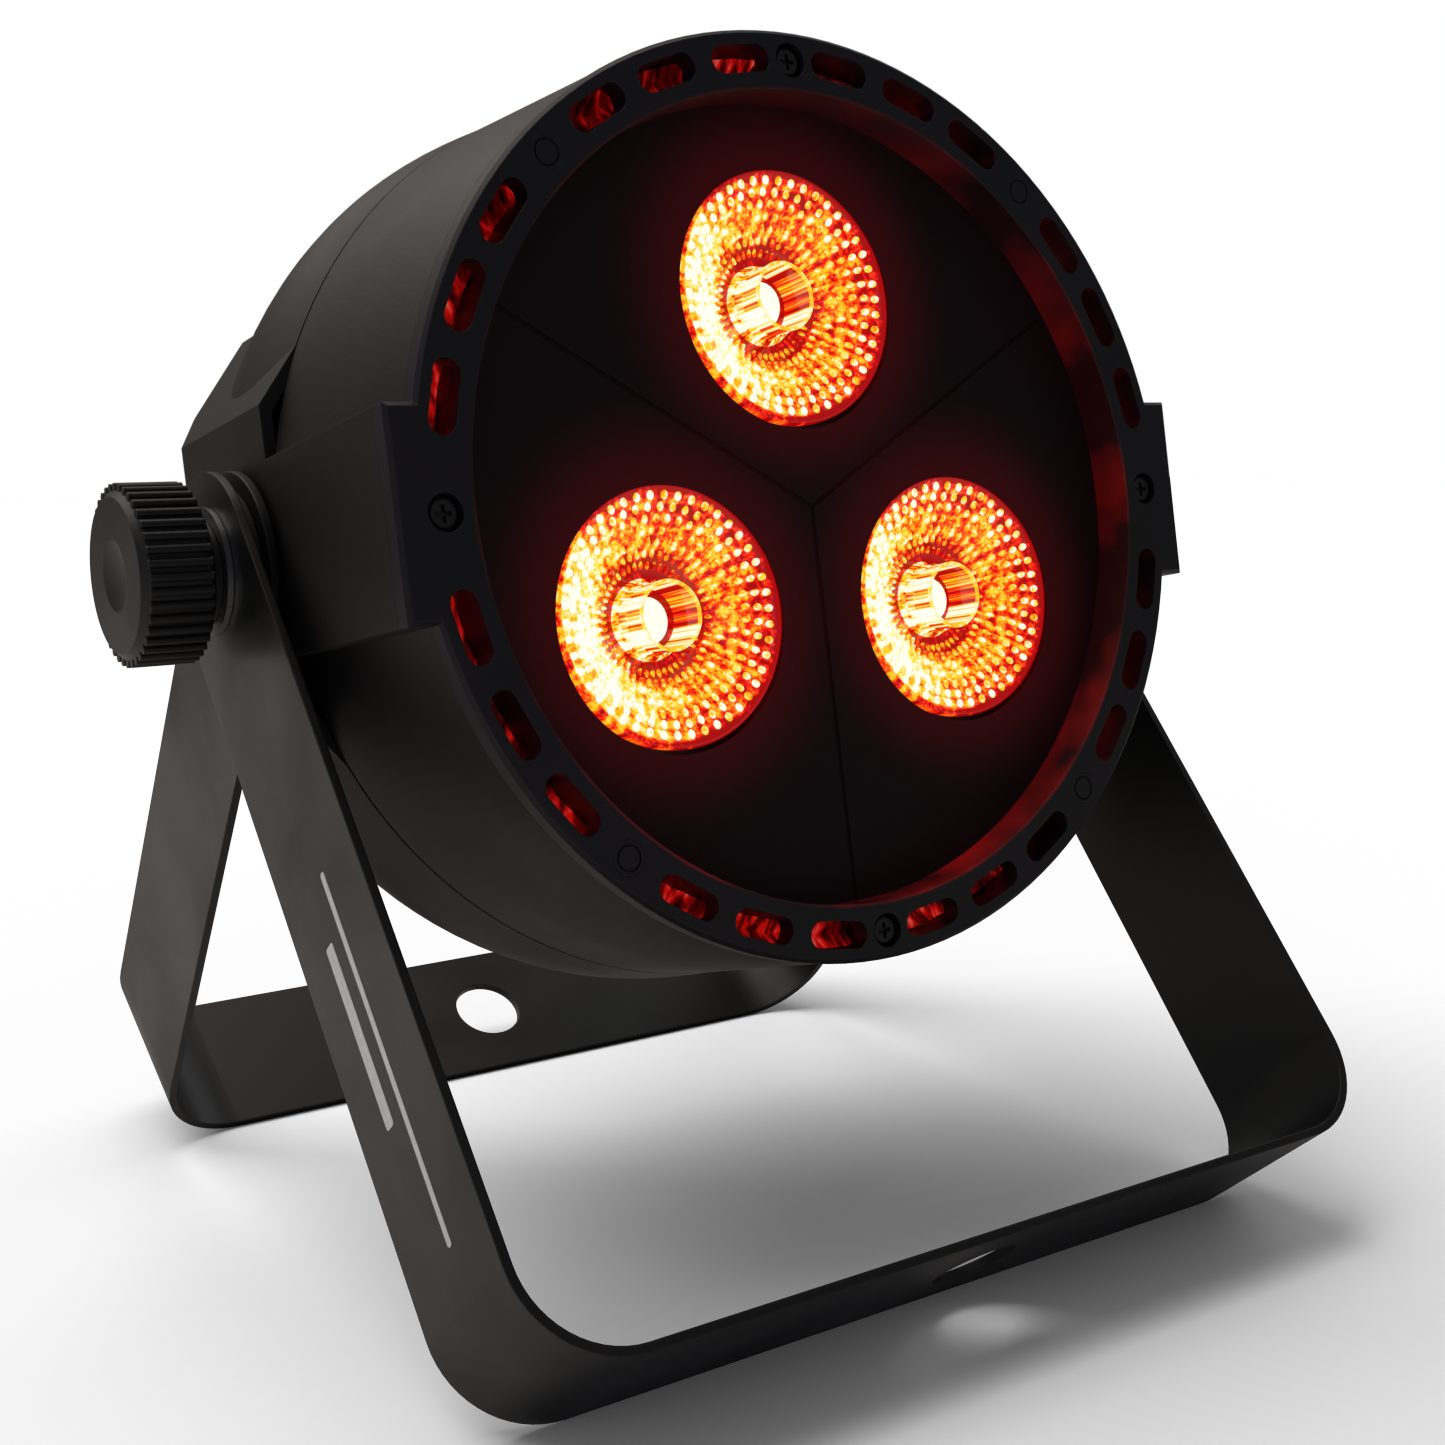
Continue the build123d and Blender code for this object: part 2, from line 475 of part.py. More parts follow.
def connector_screws():
    """Two screws in each data socket's flange."""
    return group([cross_screw(2.2, 1.3, 1.2, 7.0, FLANGE_Y, x, z, towards_back=False)
                  for x, z in flange_points()])


def power_inlet():
    """The mains inlet, with the plug's well below and the fuse drawer's slot above."""
    flange = box(INLET_X - 14, INLET_X + 14, PLATE_Y, FLANGE_Y, SOCKET_Z - 15.5, SOCKET_Z + 15.5)
    flange = fillet(flange.edges().filter_by(Axis.Y), 2.0)
    body = flange + box(INLET_X - 13, INLET_X + 13, 25, PLATE_Y, SOCKET_Z - 14.5, SOCKET_Z + 14.5)
    well = box(INLET_X - 11.5, INLET_X + 11.5, 33, FLANGE_Y + 1, -28.0, -11.5)
    well = chamfer(well.edges().filter_by(Axis.Y).group_by(Axis.Z)[-1], 3.5)
    slot = box(INLET_X - 11, INLET_X + 11, 27, FLANGE_Y + 1, -8.5, -1.5)
    return body - well - slot - [box(x - 1, x + 1, 24, 34, z - 2, z + 2) for x, z in inlet_pin_points()]


def inlet_pin_points():
    """The mains inlet's three blades."""
    return [(INLET_X - 7, -17.5), (INLET_X + 7, -17.5), (INLET_X, -14.7)]


def inlet_pins():
    """The mains inlet's three blades, which run through its floor."""
    return group([box(x - 1, x + 1, 22, 43, z - 2, z + 2) for x, z in inlet_pin_points()])


def fuse_drawer():
    """The drawer above the plug's well, with a trough across it for one fuse."""
    drawer = box(INLET_X - 10.7, INLET_X + 10.7, 28, FLANGE_Y + 1.0, -8.2, -1.8)
    drawer -= box(INLET_X - 10.1, INLET_X + 10.1, 31, 36.4, -7.2, -1)
    return drawer - box(INLET_X - 4, INLET_X + 4, FLANGE_Y, FLANGE_Y + 2, -8.6, -7.2)


def fuse():
    """The glass fuse that lies in the drawer."""
    return rod_x(2.5, INLET_X - 10, INLET_X + 10, 33.7, -4.7)


def safety_eye():
    """The eye behind the head for a safety wire, a ring on a plate."""
    plate = fillet(box(-15, 15, BACK_Y, BACK_Y + 2, EYE_Z - 6, EYE_Z + 6).edges().filter_by(Axis.Y), 4.0)
    ring = Pos(0, BACK_Y + 2.5, EYE_Z) * Torus(EYE_RING_R, EYE_WIRE_R)
    ring &= box(-15, 15, BACK_Y + 1, BACK_Y + 20, EYE_Z - 6, EYE_Z + 6)
    return plate + ring - [rod_y(1.5, BACK_Y - 1, BACK_Y + 3, x, EYE_Z) for x in EYE_SCREW_X]


def safety_eye_screws():
    """The two screws of the safety eye."""
    return group([cross_screw(2.6, 1.8, 1.5, 9.0, BACK_Y + 2, x, EYE_Z, towards_back=False)
                  for x in EYE_SCREW_X])


# ---------------------------------------------------------------- assembly
PIVOT = Pos(0, PIVOT_Y, PIVOT_Z)
HEAD = PIVOT * Rot(-TILT, 0, 0)

SIDE_PIECES = {
    "inner_washer": washer(INNER_WASHER, WASHER_R),
    "spacer_washer": washer(SPACER, WASHER_R),
    "knob_washer": washer(KNOB_WASHER, KNOB_WASHER_R, SCREW_R + 0.05),
    "knob": knob(),
    "knob_screw": knob_screw(),
    "threaded_insert": threaded_insert(),
}

HEAD_PIECES = {
    "front_bezel": front_bezel(), "bezel_screws": bezel_screws(), "bezel_plugs": bezel_plugs(),
    "lens_panel": lens_panel(), "panel_standoffs": panel_standoffs(),
    "heat_sink": heat_sink(), "heat_sink_screws": heat_sink_screws(),
    "front_shell": front_shell(), "rear_shell": rear_shell(), "shell_screws": shell_screws(),
    "driver_board": driver_board(), "transformer": transformer(), "capacitors": capacitors(),
    "board_screws": board_screws(), "control_panel": control_panel(), "panel_screws": panel_screws(),
    "display_window": display_window(), "display": display(), "control_board": control_board(),
    "control_board_standoffs": control_board_standoffs(), "microphone": microphone(),
    "dmx_in": dmx_in(), "dmx_in_pins": dmx_in_pins(), "dmx_out": dmx_out(), "dmx_latch": dmx_latch(),
    "connector_screws": connector_screws(), "power_inlet": power_inlet(), "inlet_pins": inlet_pins(),
    "fuse_drawer": fuse_drawer(), "fuse": fuse(), "safety_eye": safety_eye(),
    "safety_eye_screws": safety_eye_screws(),
}

nodes = {
    "front_yoke": PIVOT * Rot(-FRONT_LEAN, 0, 0) * yoke(FRONT_ARM_X, FRONT_DROP),
    "rear_yoke": PIVOT * Rot(REAR_LEAN, 0, 0) * yoke(REAR_ARM_X, REAR_DROP),
}
for name, piece in HEAD_PIECES.items():
    nodes[name] = HEAD * piece
for name, piece in SIDE_PIECES.items():
    nodes[name + "_right"] = HEAD * piece
    nodes[name + "_left"] = HEAD * mirrored(piece)
for name, angle in LENS_ANGLES.items():
    (lens_x, lens_z), = ring_points(LENS_RING_R, [angle])
    for node, piece in (("lens", lens()), ("lens_holder", lens_holder()), ("led", led())):
        nodes[f"{node}_{name}"] = HEAD * Pos(lens_x, 0, lens_z) * piece
for name, key_x in KEYS.items():
    nodes[f"{name}_key"] = HEAD * key(key_x)

os.makedirs("parts", exist_ok=True)
for name, piece in nodes.items():
    export_step(piece, f"parts/{name}.step")
print(f"pivot 0 {PIVOT_Y:.4f} {PIVOT_Z:.4f}, rear lean {REAR_LEAN:.3f}, nodes {len(nodes)}")
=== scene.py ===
"""Looks of a small LED par can light on a split yoke, built around its fixed CAD frame.

Metres, +Z up. The lamp faces -Y and points a little up. Every CAD node keeps its shape and gets a
procedural finish; the mask's and the bezel's finishes also carry a painted red glow of the lamp's
light. The three lenses with their painted glow, the painted red glow seen through the bezel's slots,
the display's digits and the printed stripes on the front yoke are new pieces.
"""
import json
import logging
import random
from dataclasses import dataclass, field
from enum import Enum
from math import cos, hypot, sin, tau

import bmesh
import bpy
from mathutils import Matrix, Vector


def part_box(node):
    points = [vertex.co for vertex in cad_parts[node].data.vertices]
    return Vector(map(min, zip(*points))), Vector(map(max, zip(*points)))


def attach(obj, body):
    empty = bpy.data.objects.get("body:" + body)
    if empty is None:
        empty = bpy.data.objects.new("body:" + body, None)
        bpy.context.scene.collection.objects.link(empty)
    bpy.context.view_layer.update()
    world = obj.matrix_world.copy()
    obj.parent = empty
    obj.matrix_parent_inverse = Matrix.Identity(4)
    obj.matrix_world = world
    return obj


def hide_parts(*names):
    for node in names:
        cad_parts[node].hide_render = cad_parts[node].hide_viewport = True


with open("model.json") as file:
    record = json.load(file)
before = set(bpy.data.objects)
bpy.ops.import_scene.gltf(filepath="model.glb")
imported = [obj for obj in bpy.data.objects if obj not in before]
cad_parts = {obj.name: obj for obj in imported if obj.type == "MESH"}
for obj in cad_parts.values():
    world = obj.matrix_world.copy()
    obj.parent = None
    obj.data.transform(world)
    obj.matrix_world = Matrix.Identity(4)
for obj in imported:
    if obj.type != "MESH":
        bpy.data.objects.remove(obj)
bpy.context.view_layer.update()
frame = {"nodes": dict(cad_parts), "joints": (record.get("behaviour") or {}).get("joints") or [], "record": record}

MM = 0.001
LOG = logging.getLogger("par_can")


# ------------------------------------------------------------------------------------ helpers
def srgb(code: str) -> tuple[float, float, float, float]:
    """Turns an sRGB hex colour into a linear one.

    Args:
        code: six hex digits, with or without a leading mark.

    Returns:
        Linear red, green, blue and an alpha of 1.
    """
    digits = code.lstrip("#")
    parts = [int(digits[i:i + 2], 16) / 255 for i in (0, 2, 4)]
    linear = [c / 12.92 if c <= 0.04045 else ((c + 0.055) / 1.055) ** 2.4 for c in parts]
    return (*linear, 1.0)


def per_mm(size: float) -> float:
    """The scale of a pattern on coordinates in metres whose cells are size mm wide."""
    return 1.0 / (size * MM)


def add(tree: bpy.types.NodeTree, kind: str, settings: dict | None = None,
        links: dict | None = None) -> bpy.types.Node:
    """Adds one shader node with its settings and links.

    Args:
        tree: the material's node tree.
        kind: the node's type name.
        settings: attribute or input names, or input numbers, and their values.
        links: input names or numbers, and the output socket that feeds each.

    Returns:
        The new node.
    """
    made = tree.nodes.new(kind)
    for key, value in (settings or {}).items():
        if isinstance(key, str) and hasattr(made, key):
            setattr(made, key, value)
        else:
            made.inputs[key].default_value = value
    for key, socket in (links or {}).items():
        tree.links.new(socket, made.inputs[key])
    return made


def ramp(tree: bpy.types.NodeTree, factor: bpy.types.NodeSocket,
         stops: list[tuple[float, tuple[float, float, float, float]]]) -> bpy.types.NodeSocket:
    """Adds a colour ramp.

    Args:
        tree: the material's node tree.
        factor: the value that runs along the ramp.
        stops: each stop's place and linear colour.

    Returns:
        The ramp's colour socket.
    """
    made = add(tree, "ShaderNodeValToRGB", links={"Fac": factor})
    elements = made.color_ramp.elements
    while len(elements) < len(stops):
        elements.new(1.0)
    for element, (place, colour) in zip(elements, stops):
        element.position = place
        element.color = colour
    return made.outputs["Color"]


def new_tree(name: str) -> tuple[bpy.types.Material, bpy.types.NodeTree, bpy.types.Node]:
    """Starts a material.

    Args:
        name: the finish's name.

    Returns:
        The material, its node tree and its one Principled shader.
    """
    material = bpy.data.materials.new(name)
    material.use_nodes = True
    tree = material.node_tree
    return material, tree, tree.nodes["Principled BSDF"]


def piece_from(bm: bmesh.types.BMesh, name: str, body: str, material: bpy.types.Material,
               smooth: bool = True) -> bpy.types.Object:
    """Turns a bmesh into a finished piece that rides on a body.

    Args:
        bm: the mesh, already in the row frame. It is freed.
        name: the piece's name.
        body: the CAD body it moves with.
        material: its finish.
        smooth: whether its faces are shaded smooth.

    Returns:
        The new object.
    """
    mesh = bpy.data.meshes.new(name)
    for face in bm.faces:
        face.smooth = smooth
    bm.to_mesh(mesh)
    bm.free()
    mesh.materials.append(material)
    made = bpy.data.objects.new(name, mesh)
    bpy.context.scene.collection.objects.link(made)
    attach(made, body)
    LOG.info("%s: %d faces on %s", name, len(mesh.polygons), body)
    return made


def turn_profile(bm: bmesh.types.BMesh, points: list[tuple[float, float]], steps: int) -> None:
    """Spins an outline of (radius, y) points, in mm, once about the Y axis.

    Args:
        bm: the mesh that gets the surface.
        points: the outline, from one end to the other.
        steps: how many facets go round.
    """
    corners = [bm.verts.new((r * MM, y * MM, 0.0)) for r, y in points]
    edges = [bm.edges.new(pair) for pair in zip(corners, corners[1:])]
    bmesh.ops.spin(bm, geom=corners + edges, cent=(0, 0, 0), axis=(0, 1, 0), dvec=(0, 0, 0),
                   angle=tau, steps=steps, use_merge=True, use_duplicate=False)
    bmesh.ops.remove_doubles(bm, verts=bm.verts, dist=0.00001)
    bmesh.ops.recalc_face_normals(bm, faces=bm.faces)


@dataclass(frozen=True)
class HeadFrame:
    """The head's own frame, read from the joints: X along the tilt axis, Y to the back, Z up."""
    pivot: Vector
    back: Vector

    @classmethod
    def read(cls) -> "HeadFrame":
        """Reads the tilt axis and the way the fuse drawer slides, which is the head's back."""
        joints = {joint["name"]: joint for joint in frame["joints"]}
        return cls(Vector(joints["head_tilt"]["pos_m"]), Vector(joints["fuse_drawer_slide"]["axis"]))

    @property
    def up(self) -> Vector:
        """The head's own up."""
        return Vector((1, 0, 0)).cross(self.back)

    @property
    def matrix(self) -> Matrix:
        """From the head's own frame to the row frame."""
        turned = Matrix((Vector((1, 0, 0)), self.back, self.up)).transposed().to_4x4()
        return Matrix.Translation(self.pivot) @ turned

    def at(self, x: float, y: float, z: float) -> Vector:
        """The row-frame place of a point given in the head's own frame, in mm."""
        return self.matrix @ (Vector((x, y, z)) * MM)


HEAD = HeadFrame.read()


# ------------------------------------------------------------------------------------ finishes
@dataclass(frozen=True)
class MouldedPlastic:
    """Moulded plastic with a spark-eroded grain. The grain breaks up every highlight."""
    name: str
    base: str
    light: str
    grain_mm: float = 0.55
    grain_depth_mm: float = 0.05
    roughness: tuple[float, float] = (0.48, 0.62)
    cloud_mm: float = 28.0
    edge_mm: float = 0.35
    specular: float = 0.5

    def build(self) -> bpy.types.Material:
        """Builds the finish."""
        material, tree, shader = new_tree(self.name)
        place = add(tree, "ShaderNodeTexCoord").outputs["Object"]
        cloud = add(tree, "ShaderNodeTexNoise", {"Scale": per_mm(self.cloud_mm), "Detail": 4.0},
                    {"Vector": place})
        grain = add(tree, "ShaderNodeTexNoise",
                    {"Scale": per_mm(self.grain_mm), "Detail": 2.0, "Roughness": 0.6},
                    {"Vector": place})
        mixed = add(tree, "ShaderNodeMath", {"operation": "MULTIPLY_ADD", 1: 0.45},
                    {0: grain.outputs["Fac"], 2: cloud.outputs["Fac"]})
        colour = ramp(tree, mixed.outputs[0], [(0.45, srgb(self.base)), (0.95, srgb(self.light))])
        tree.links.new(colour, shader.inputs["Base Color"])
        rough = add(tree, "ShaderNodeMapRange",
                    {"From Min": 0.3, "From Max": 0.7, "To Min": self.roughness[0],
                     "To Max": self.roughness[1]},
                    {"Value": cloud.outputs["Fac"]})
        tree.links.new(rough.outputs["Result"], shader.inputs["Roughness"])
        edge = add(tree, "ShaderNodeBevel", {"samples": 4, "Radius": self.edge_mm * MM})
        bump = add(tree, "ShaderNodeBump", {"Strength": 0.6, "Distance": self.grain_depth_mm * MM},
                   {"Height": grain.outputs["Fac"], "Normal": edge.outputs["Normal"]})
        tree.links.new(bump.outputs["Normal"], shader.inputs["Normal"])
        shader.inputs["Specular IOR Level"].default_value = self.specular
        # Adds the painted glow of the lamp's light, where a finish has one.
        self.painted_glow(tree, shader, place)
        return material

    def painted_glow(self, tree: bpy.types.NodeTree, shader: bpy.types.Node, place: bpy.types.NodeSocket) -> None:
        """Leaves the plastic as it is. Finishes with a painted glow of the lamp's light add it here."""


@dataclass(frozen=True)
class PanelPlastic(MouldedPlastic):
    """The mask's matte plastic, with a painted red glow of the lamps' light round each lens."""
    # Painted glow: a red emission round each lens and a faint one over the whole mask stand in for the lamps'
    # light.
    centres: tuple[tuple[float, float, float], ...] = ()
    lens_r: float = 22.6
    reach_mm: float = 22.0
    strength: float = 0.024
    everywhere: float = 0.0012
    glow: str = "ff1020"

    def painted_glow(self, tree: bpy.types.NodeTree, shader: bpy.types.Node, place: bpy.types.NodeSocket) -> None:
        """Adds a painted red halo of the lamps' light that fades with the distance to the nearest lens.

        Args:
            tree: the material's node tree.
            shader: its Principled shader.
            place: the object coordinates.
        """
        # Painted glow: the halo is red emission, strongest at each lens's edge.
        nearest = None
        for centre in self.centres:
            away = add(tree, "ShaderNodeVectorMath", {"operation": "DISTANCE", 1: centre},
                       {0: place}).outputs["Value"]
            if nearest is None:
                nearest = away
            else:
                nearest = add(tree, "ShaderNodeMath", {"operation": "MINIMUM"},
                              {0: nearest, 1: away}).outputs[0]
        fade = add(tree, "ShaderNodeMapRange",
                   {"interpolation_type": "SMOOTHSTEP", "From Min": self.lens_r * MM,
                    "From Max": (self.lens_r + self.reach_mm) * MM, "To Min": 1.0, "To Max": 0.0},
                   {"Value": nearest}).outputs["Result"]
        sharp = add(tree, "ShaderNodeMath", {"operation": "POWER", 1: 3.0}, {0: fade}).outputs[0]
        level = add(tree, "ShaderNodeMath", {"operation": "MULTIPLY_ADD", 1: self.strength,
                                             2: self.everywhere}, {0: sharp})
        shader.inputs["Emission Color"].default_value = srgb(self.glow)
        tree.links.new(level.outputs[0], shader.inputs["Emission Strength"])


@dataclass(frozen=True)
class BezelPlastic(MouldedPlastic):
    """The bezel's smoother plastic, with a painted red glow of the lamp's light on its recess wall."""
    pivot: tuple[float, float, float] = (0.0, 0.0, 0.0)
    axis: tuple[float, float, float] = (0.0, 1.0, 0.0)
    wall_r: float = 70.6
    bright_way: tuple[float, float, float] = (0.6, 0.0, -0.8)
    dim_share: float = 0.12
    strength: float = 0.2
    glow: str = "ff1a10"

    def painted_glow(self, tree: bpy.types.NodeTree, shader: bpy.types.Node, place: bpy.types.NodeSocket) -> None:
        """Adds a streaky painted red glow inside the wall's radius from the head's axis, stronger to the low
        right.

        Args:
            tree: the material's node tree.
            shader: its Principled shader.
            place: the object coordinates.
        """
        # Painted glow: red emission on the recess wall stands in for the lamp's light.
        here = add(tree, "ShaderNodeVectorMath", {"operation": "SUBTRACT", 1: self.pivot},
                   {0: place}).outputs[0]
        out = add(tree, "ShaderNodeVectorMath", {"operation": "CROSS_PRODUCT", 1: self.axis},
                  {0: here}).outputs[0]
        away = add(tree, "ShaderNodeVectorMath", {"operation": "LENGTH"}, {0: out}).outputs["Value"]
        wall = add(tree, "ShaderNodeMapRange",
                   {"From Min": (self.wall_r - 0.5) * MM, "From Max": self.wall_r * MM, "To Min": 1.0,
                    "To Max": 0.0},
                   {"Value": away}).outputs["Result"]
        patch = add(tree, "ShaderNodeTexNoise", {"Scale": per_mm(26.0), "Detail": 3.0}, {"Vector": place})
        streak = add(tree, "ShaderNodeMapRange",
                     {"From Min": 0.42, "From Max": 0.72, "To Min": 0.05, "To Max": 1.0},
                     {"Value": patch.outputs["Fac"]}).outputs["Result"]
        both = add(tree, "ShaderNodeMath", {"operation": "MULTIPLY"}, {0: wall, 1: streak}).outputs[0]
        # Painted light: the glow is stronger on the low right of the wall and dimmer opposite.
        low_right = add(tree, "ShaderNodeVectorMath", {"operation": "DOT_PRODUCT", 1: self.bright_way},
                        {0: here})
        facing = add(tree, "ShaderNodeMapRange",
                     {"interpolation_type": "SMOOTHSTEP", "From Min": -self.wall_r * MM,
                      "From Max": self.wall_r * MM,
                      "To Min": self.dim_share, "To Max": 1.0},
                     {"Value": low_right.outputs["Value"]}).outputs["Result"]
        turned = add(tree, "ShaderNodeMath", {"operation": "MULTIPLY"}, {0: both, 1: facing}).outputs[0]
        level = add(tree, "ShaderNodeMath", {"operation": "MULTIPLY", 1: self.strength}, {0: turned})
        shader.inputs["Emission Color"].default_value = srgb(self.glow)
        tree.links.new(level.outputs[0], shader.inputs["Emission Strength"])


@dataclass(frozen=True)
class PowderCoat:
    """Black powder coat on folded steel. Its orange peel makes soft, slightly lumpy highlights."""
    name: str
    base: str
    light: str
    peel_mm: float = 1.6
    peel_depth_mm: float = 0.03
    roughness: tuple[float, float] = (0.34, 0.5)

    def build(self) -> bpy.types.Material:
        """Builds the finish."""
        material, tree, shader = new_tree(self.name)
        place = add(tree, "ShaderNodeTexCoord").outputs["Object"]
        peel = add(tree, "ShaderNodeTexNoise", {"Scale": per_mm(self.peel_mm), "Detail": 3.0},
                   {"Vector": place})
        handled = add(tree, "ShaderNodeTexNoise", {"Scale": per_mm(35.0), "Detail": 5.0, "Distortion": 0.6},
                      {"Vector": place})
        colour = ramp(tree, handled.outputs["Fac"], [(0.35, srgb(self.base)), (0.75, srgb(self.light))])
        tree.links.new(colour, shader.inputs["Base Color"])
        rough = add(tree, "ShaderNodeMapRange",
                    {"From Min": 0.35, "From Max": 0.7, "To Min": self.roughness[0],
                     "To Max": self.roughness[1]},
                    {"Value": handled.outputs["Fac"]})
        tree.links.new(rough.outputs["Result"], shader.inputs["Roughness"])
        edge = add(tree, "ShaderNodeBevel", {"samples": 4, "Radius": 0.5 * MM})
        bump = add(tree, "ShaderNodeBump", {"Strength": 0.5, "Distance": self.peel_depth_mm * MM},
                   {"Height": peel.outputs["Fac"], "Normal": edge.outputs["Normal"]})
        tree.links.new(bump.outputs["Normal"], shader.inputs["Normal"])
        return material


@dataclass(frozen=True)
class WorkedMetal:
    """Bare or plated metal with fine tool marks that stretch its highlights."""
    name: str
    base: str
    light: str
    mark_mm: float = 0.35
    stretch: float = 12.0
    roughness: tuple[float, float] = (0.22, 0.4)

    def build(self) -> bpy.types.Material:
        """Builds the finish."""
        material, tree, shader = new_tree(self.name)
        place = add(tree, "ShaderNodeTexCoord").outputs["Object"]
        longer = add(tree, "ShaderNodeMapping", {"Scale": (1.0 / self.stretch, 1.0, 1.0)},
                     {"Vector": place})
        marks = add(tree, "ShaderNodeTexNoise", {"Scale": per_mm(self.mark_mm), "Detail": 2.0},
                    {"Vector": longer.outputs["Vector"]})
        dull = add(tree, "ShaderNodeTexNoise", {"Scale": per_mm(9.0), "Detail": 4.0}, {"Vector": place})
        colour = ramp(tree, dull.outputs["Fac"], [(0.3, srgb(self.base)), (0.7, srgb(self.light))])
        tree.links.new(colour, shader.inputs["Base Color"])
        rough = add(tree, "ShaderNodeMapRange", {"To Min": self.roughness[0], "To Max": self.roughness[1]},
                    {"Value": marks.outputs["Fac"]})
        tree.links.new(rough.outputs["Result"], shader.inputs["Roughness"])
        bump = add(tree, "ShaderNodeBump", {"Strength": 0.3, "Distance": 0.02 * MM},
                   {"Height": marks.outputs["Fac"]})
        tree.links.new(bump.outputs["Normal"], shader.inputs["Normal"])
        shader.inputs["Metallic"].default_value = 1.0
        return material


@dataclass(frozen=True)
class CircuitBoard:
    """Solder mask over copper, with tracks that show as paler lines."""
    name: str
    mask: str = "0d4a24"
    track: str = "2f7a45"

    def build(self) -> bpy.types.Material:
        """Builds the finish."""
        material, tree, shader = new_tree(self.name)
        place = add(tree, "ShaderNodeTexCoord").outputs["Object"]
        cells = add(tree, "ShaderNodeTexVoronoi",
                    {"feature": "DISTANCE_TO_EDGE", "distance": "EUCLIDEAN", "Scale": per_mm(4.0)},
                    {"Vector": place})
        colour = ramp(tree, cells.outputs["Distance"],
                      [(0.0, srgb(self.track)), (0.1, srgb(self.track)), (0.14, srgb(self.mask))])
        tree.links.new(colour, shader.inputs["Base Color"])
        shader.inputs["Roughness"].default_value = 0.3
        return material


@dataclass(frozen=True)
class ClearPlastic:
    """Tinted acrylic or glass. It shows what lies behind it through its colour."""
    name: str
    tint: str
    roughness: float = 0.05

    def build(self) -> bpy.types.Material:
        """Builds the finish."""
        material, tree, shader = new_tree(self.name)
        place = add(tree, "ShaderNodeTexCoord").outputs["Object"]
        haze = add(tree, "ShaderNodeTexNoise", {"Scale": per_mm(6.0), "Detail": 3.0}, {"Vector": place})
        rough = add(tree, "ShaderNodeMapRange",
                    {"To Min": self.roughness * 0.5, "To Max": self.roughness * 2},
                    {"Value": haze.outputs["Fac"]})
        tree.links.new(rough.outputs["Result"], shader.inputs["Roughness"])
        shader.inputs["Base Color"].default_value = srgb(self.tint)
        shader.inputs["Transmission Weight"].default_value = 1.0
        shader.inputs["IOR"].default_value = 1.49
        return material


class LensGlow(Enum):
    """Each part of a lit lens, with its own level of painted glow; the lamp's dome is the lamp itself."""
    BOWL = "bowl"
    BEADS = "beads"
    PILLAR = "pillar"
    LIP = "lip"
    LAMP = "lamp"


@dataclass(frozen=True)
class GlowLevels:
    """How bright the painted glow on one part of a lens is, on the scale of LitLens's colours, from 0 to 1.

    base is its level in the middle. hot_side is added towards the side where the painted glow is blown
    out, specks and spoke scale its patches and radial streaks, and outer, inner and rim are added near
    those radii.
    """
    base: float
    hot_side: float = 0.0
    specks: float = 0.0
    spoke: float = 0.0
    outer: float = 0.0
    inner: float = 0.0
    rim: float = 0.0


# Painted glow levels of each lens part; negative levels paint the glow darker near those radii.
GLOW_LEVELS = {
    LensGlow.BOWL: GlowLevels(0.36, hot_side=0.55, specks=0.7, spoke=0.3, outer=-0.2, inner=-0.5, rim=-0.4),
    LensGlow.BEADS: GlowLevels(0.56, hot_side=0.4, specks=0.8, spoke=0.35, outer=0.2, inner=-0.2, rim=-0.15),
    LensGlow.PILLAR: GlowLevels(0.42, hot_side=0.5, specks=1.5, spoke=0.5),
    LensGlow.LIP: GlowLevels(0.62, hot_side=0.2, specks=0.6),
    LensGlow.LAMP: GlowLevels(1.0),
}


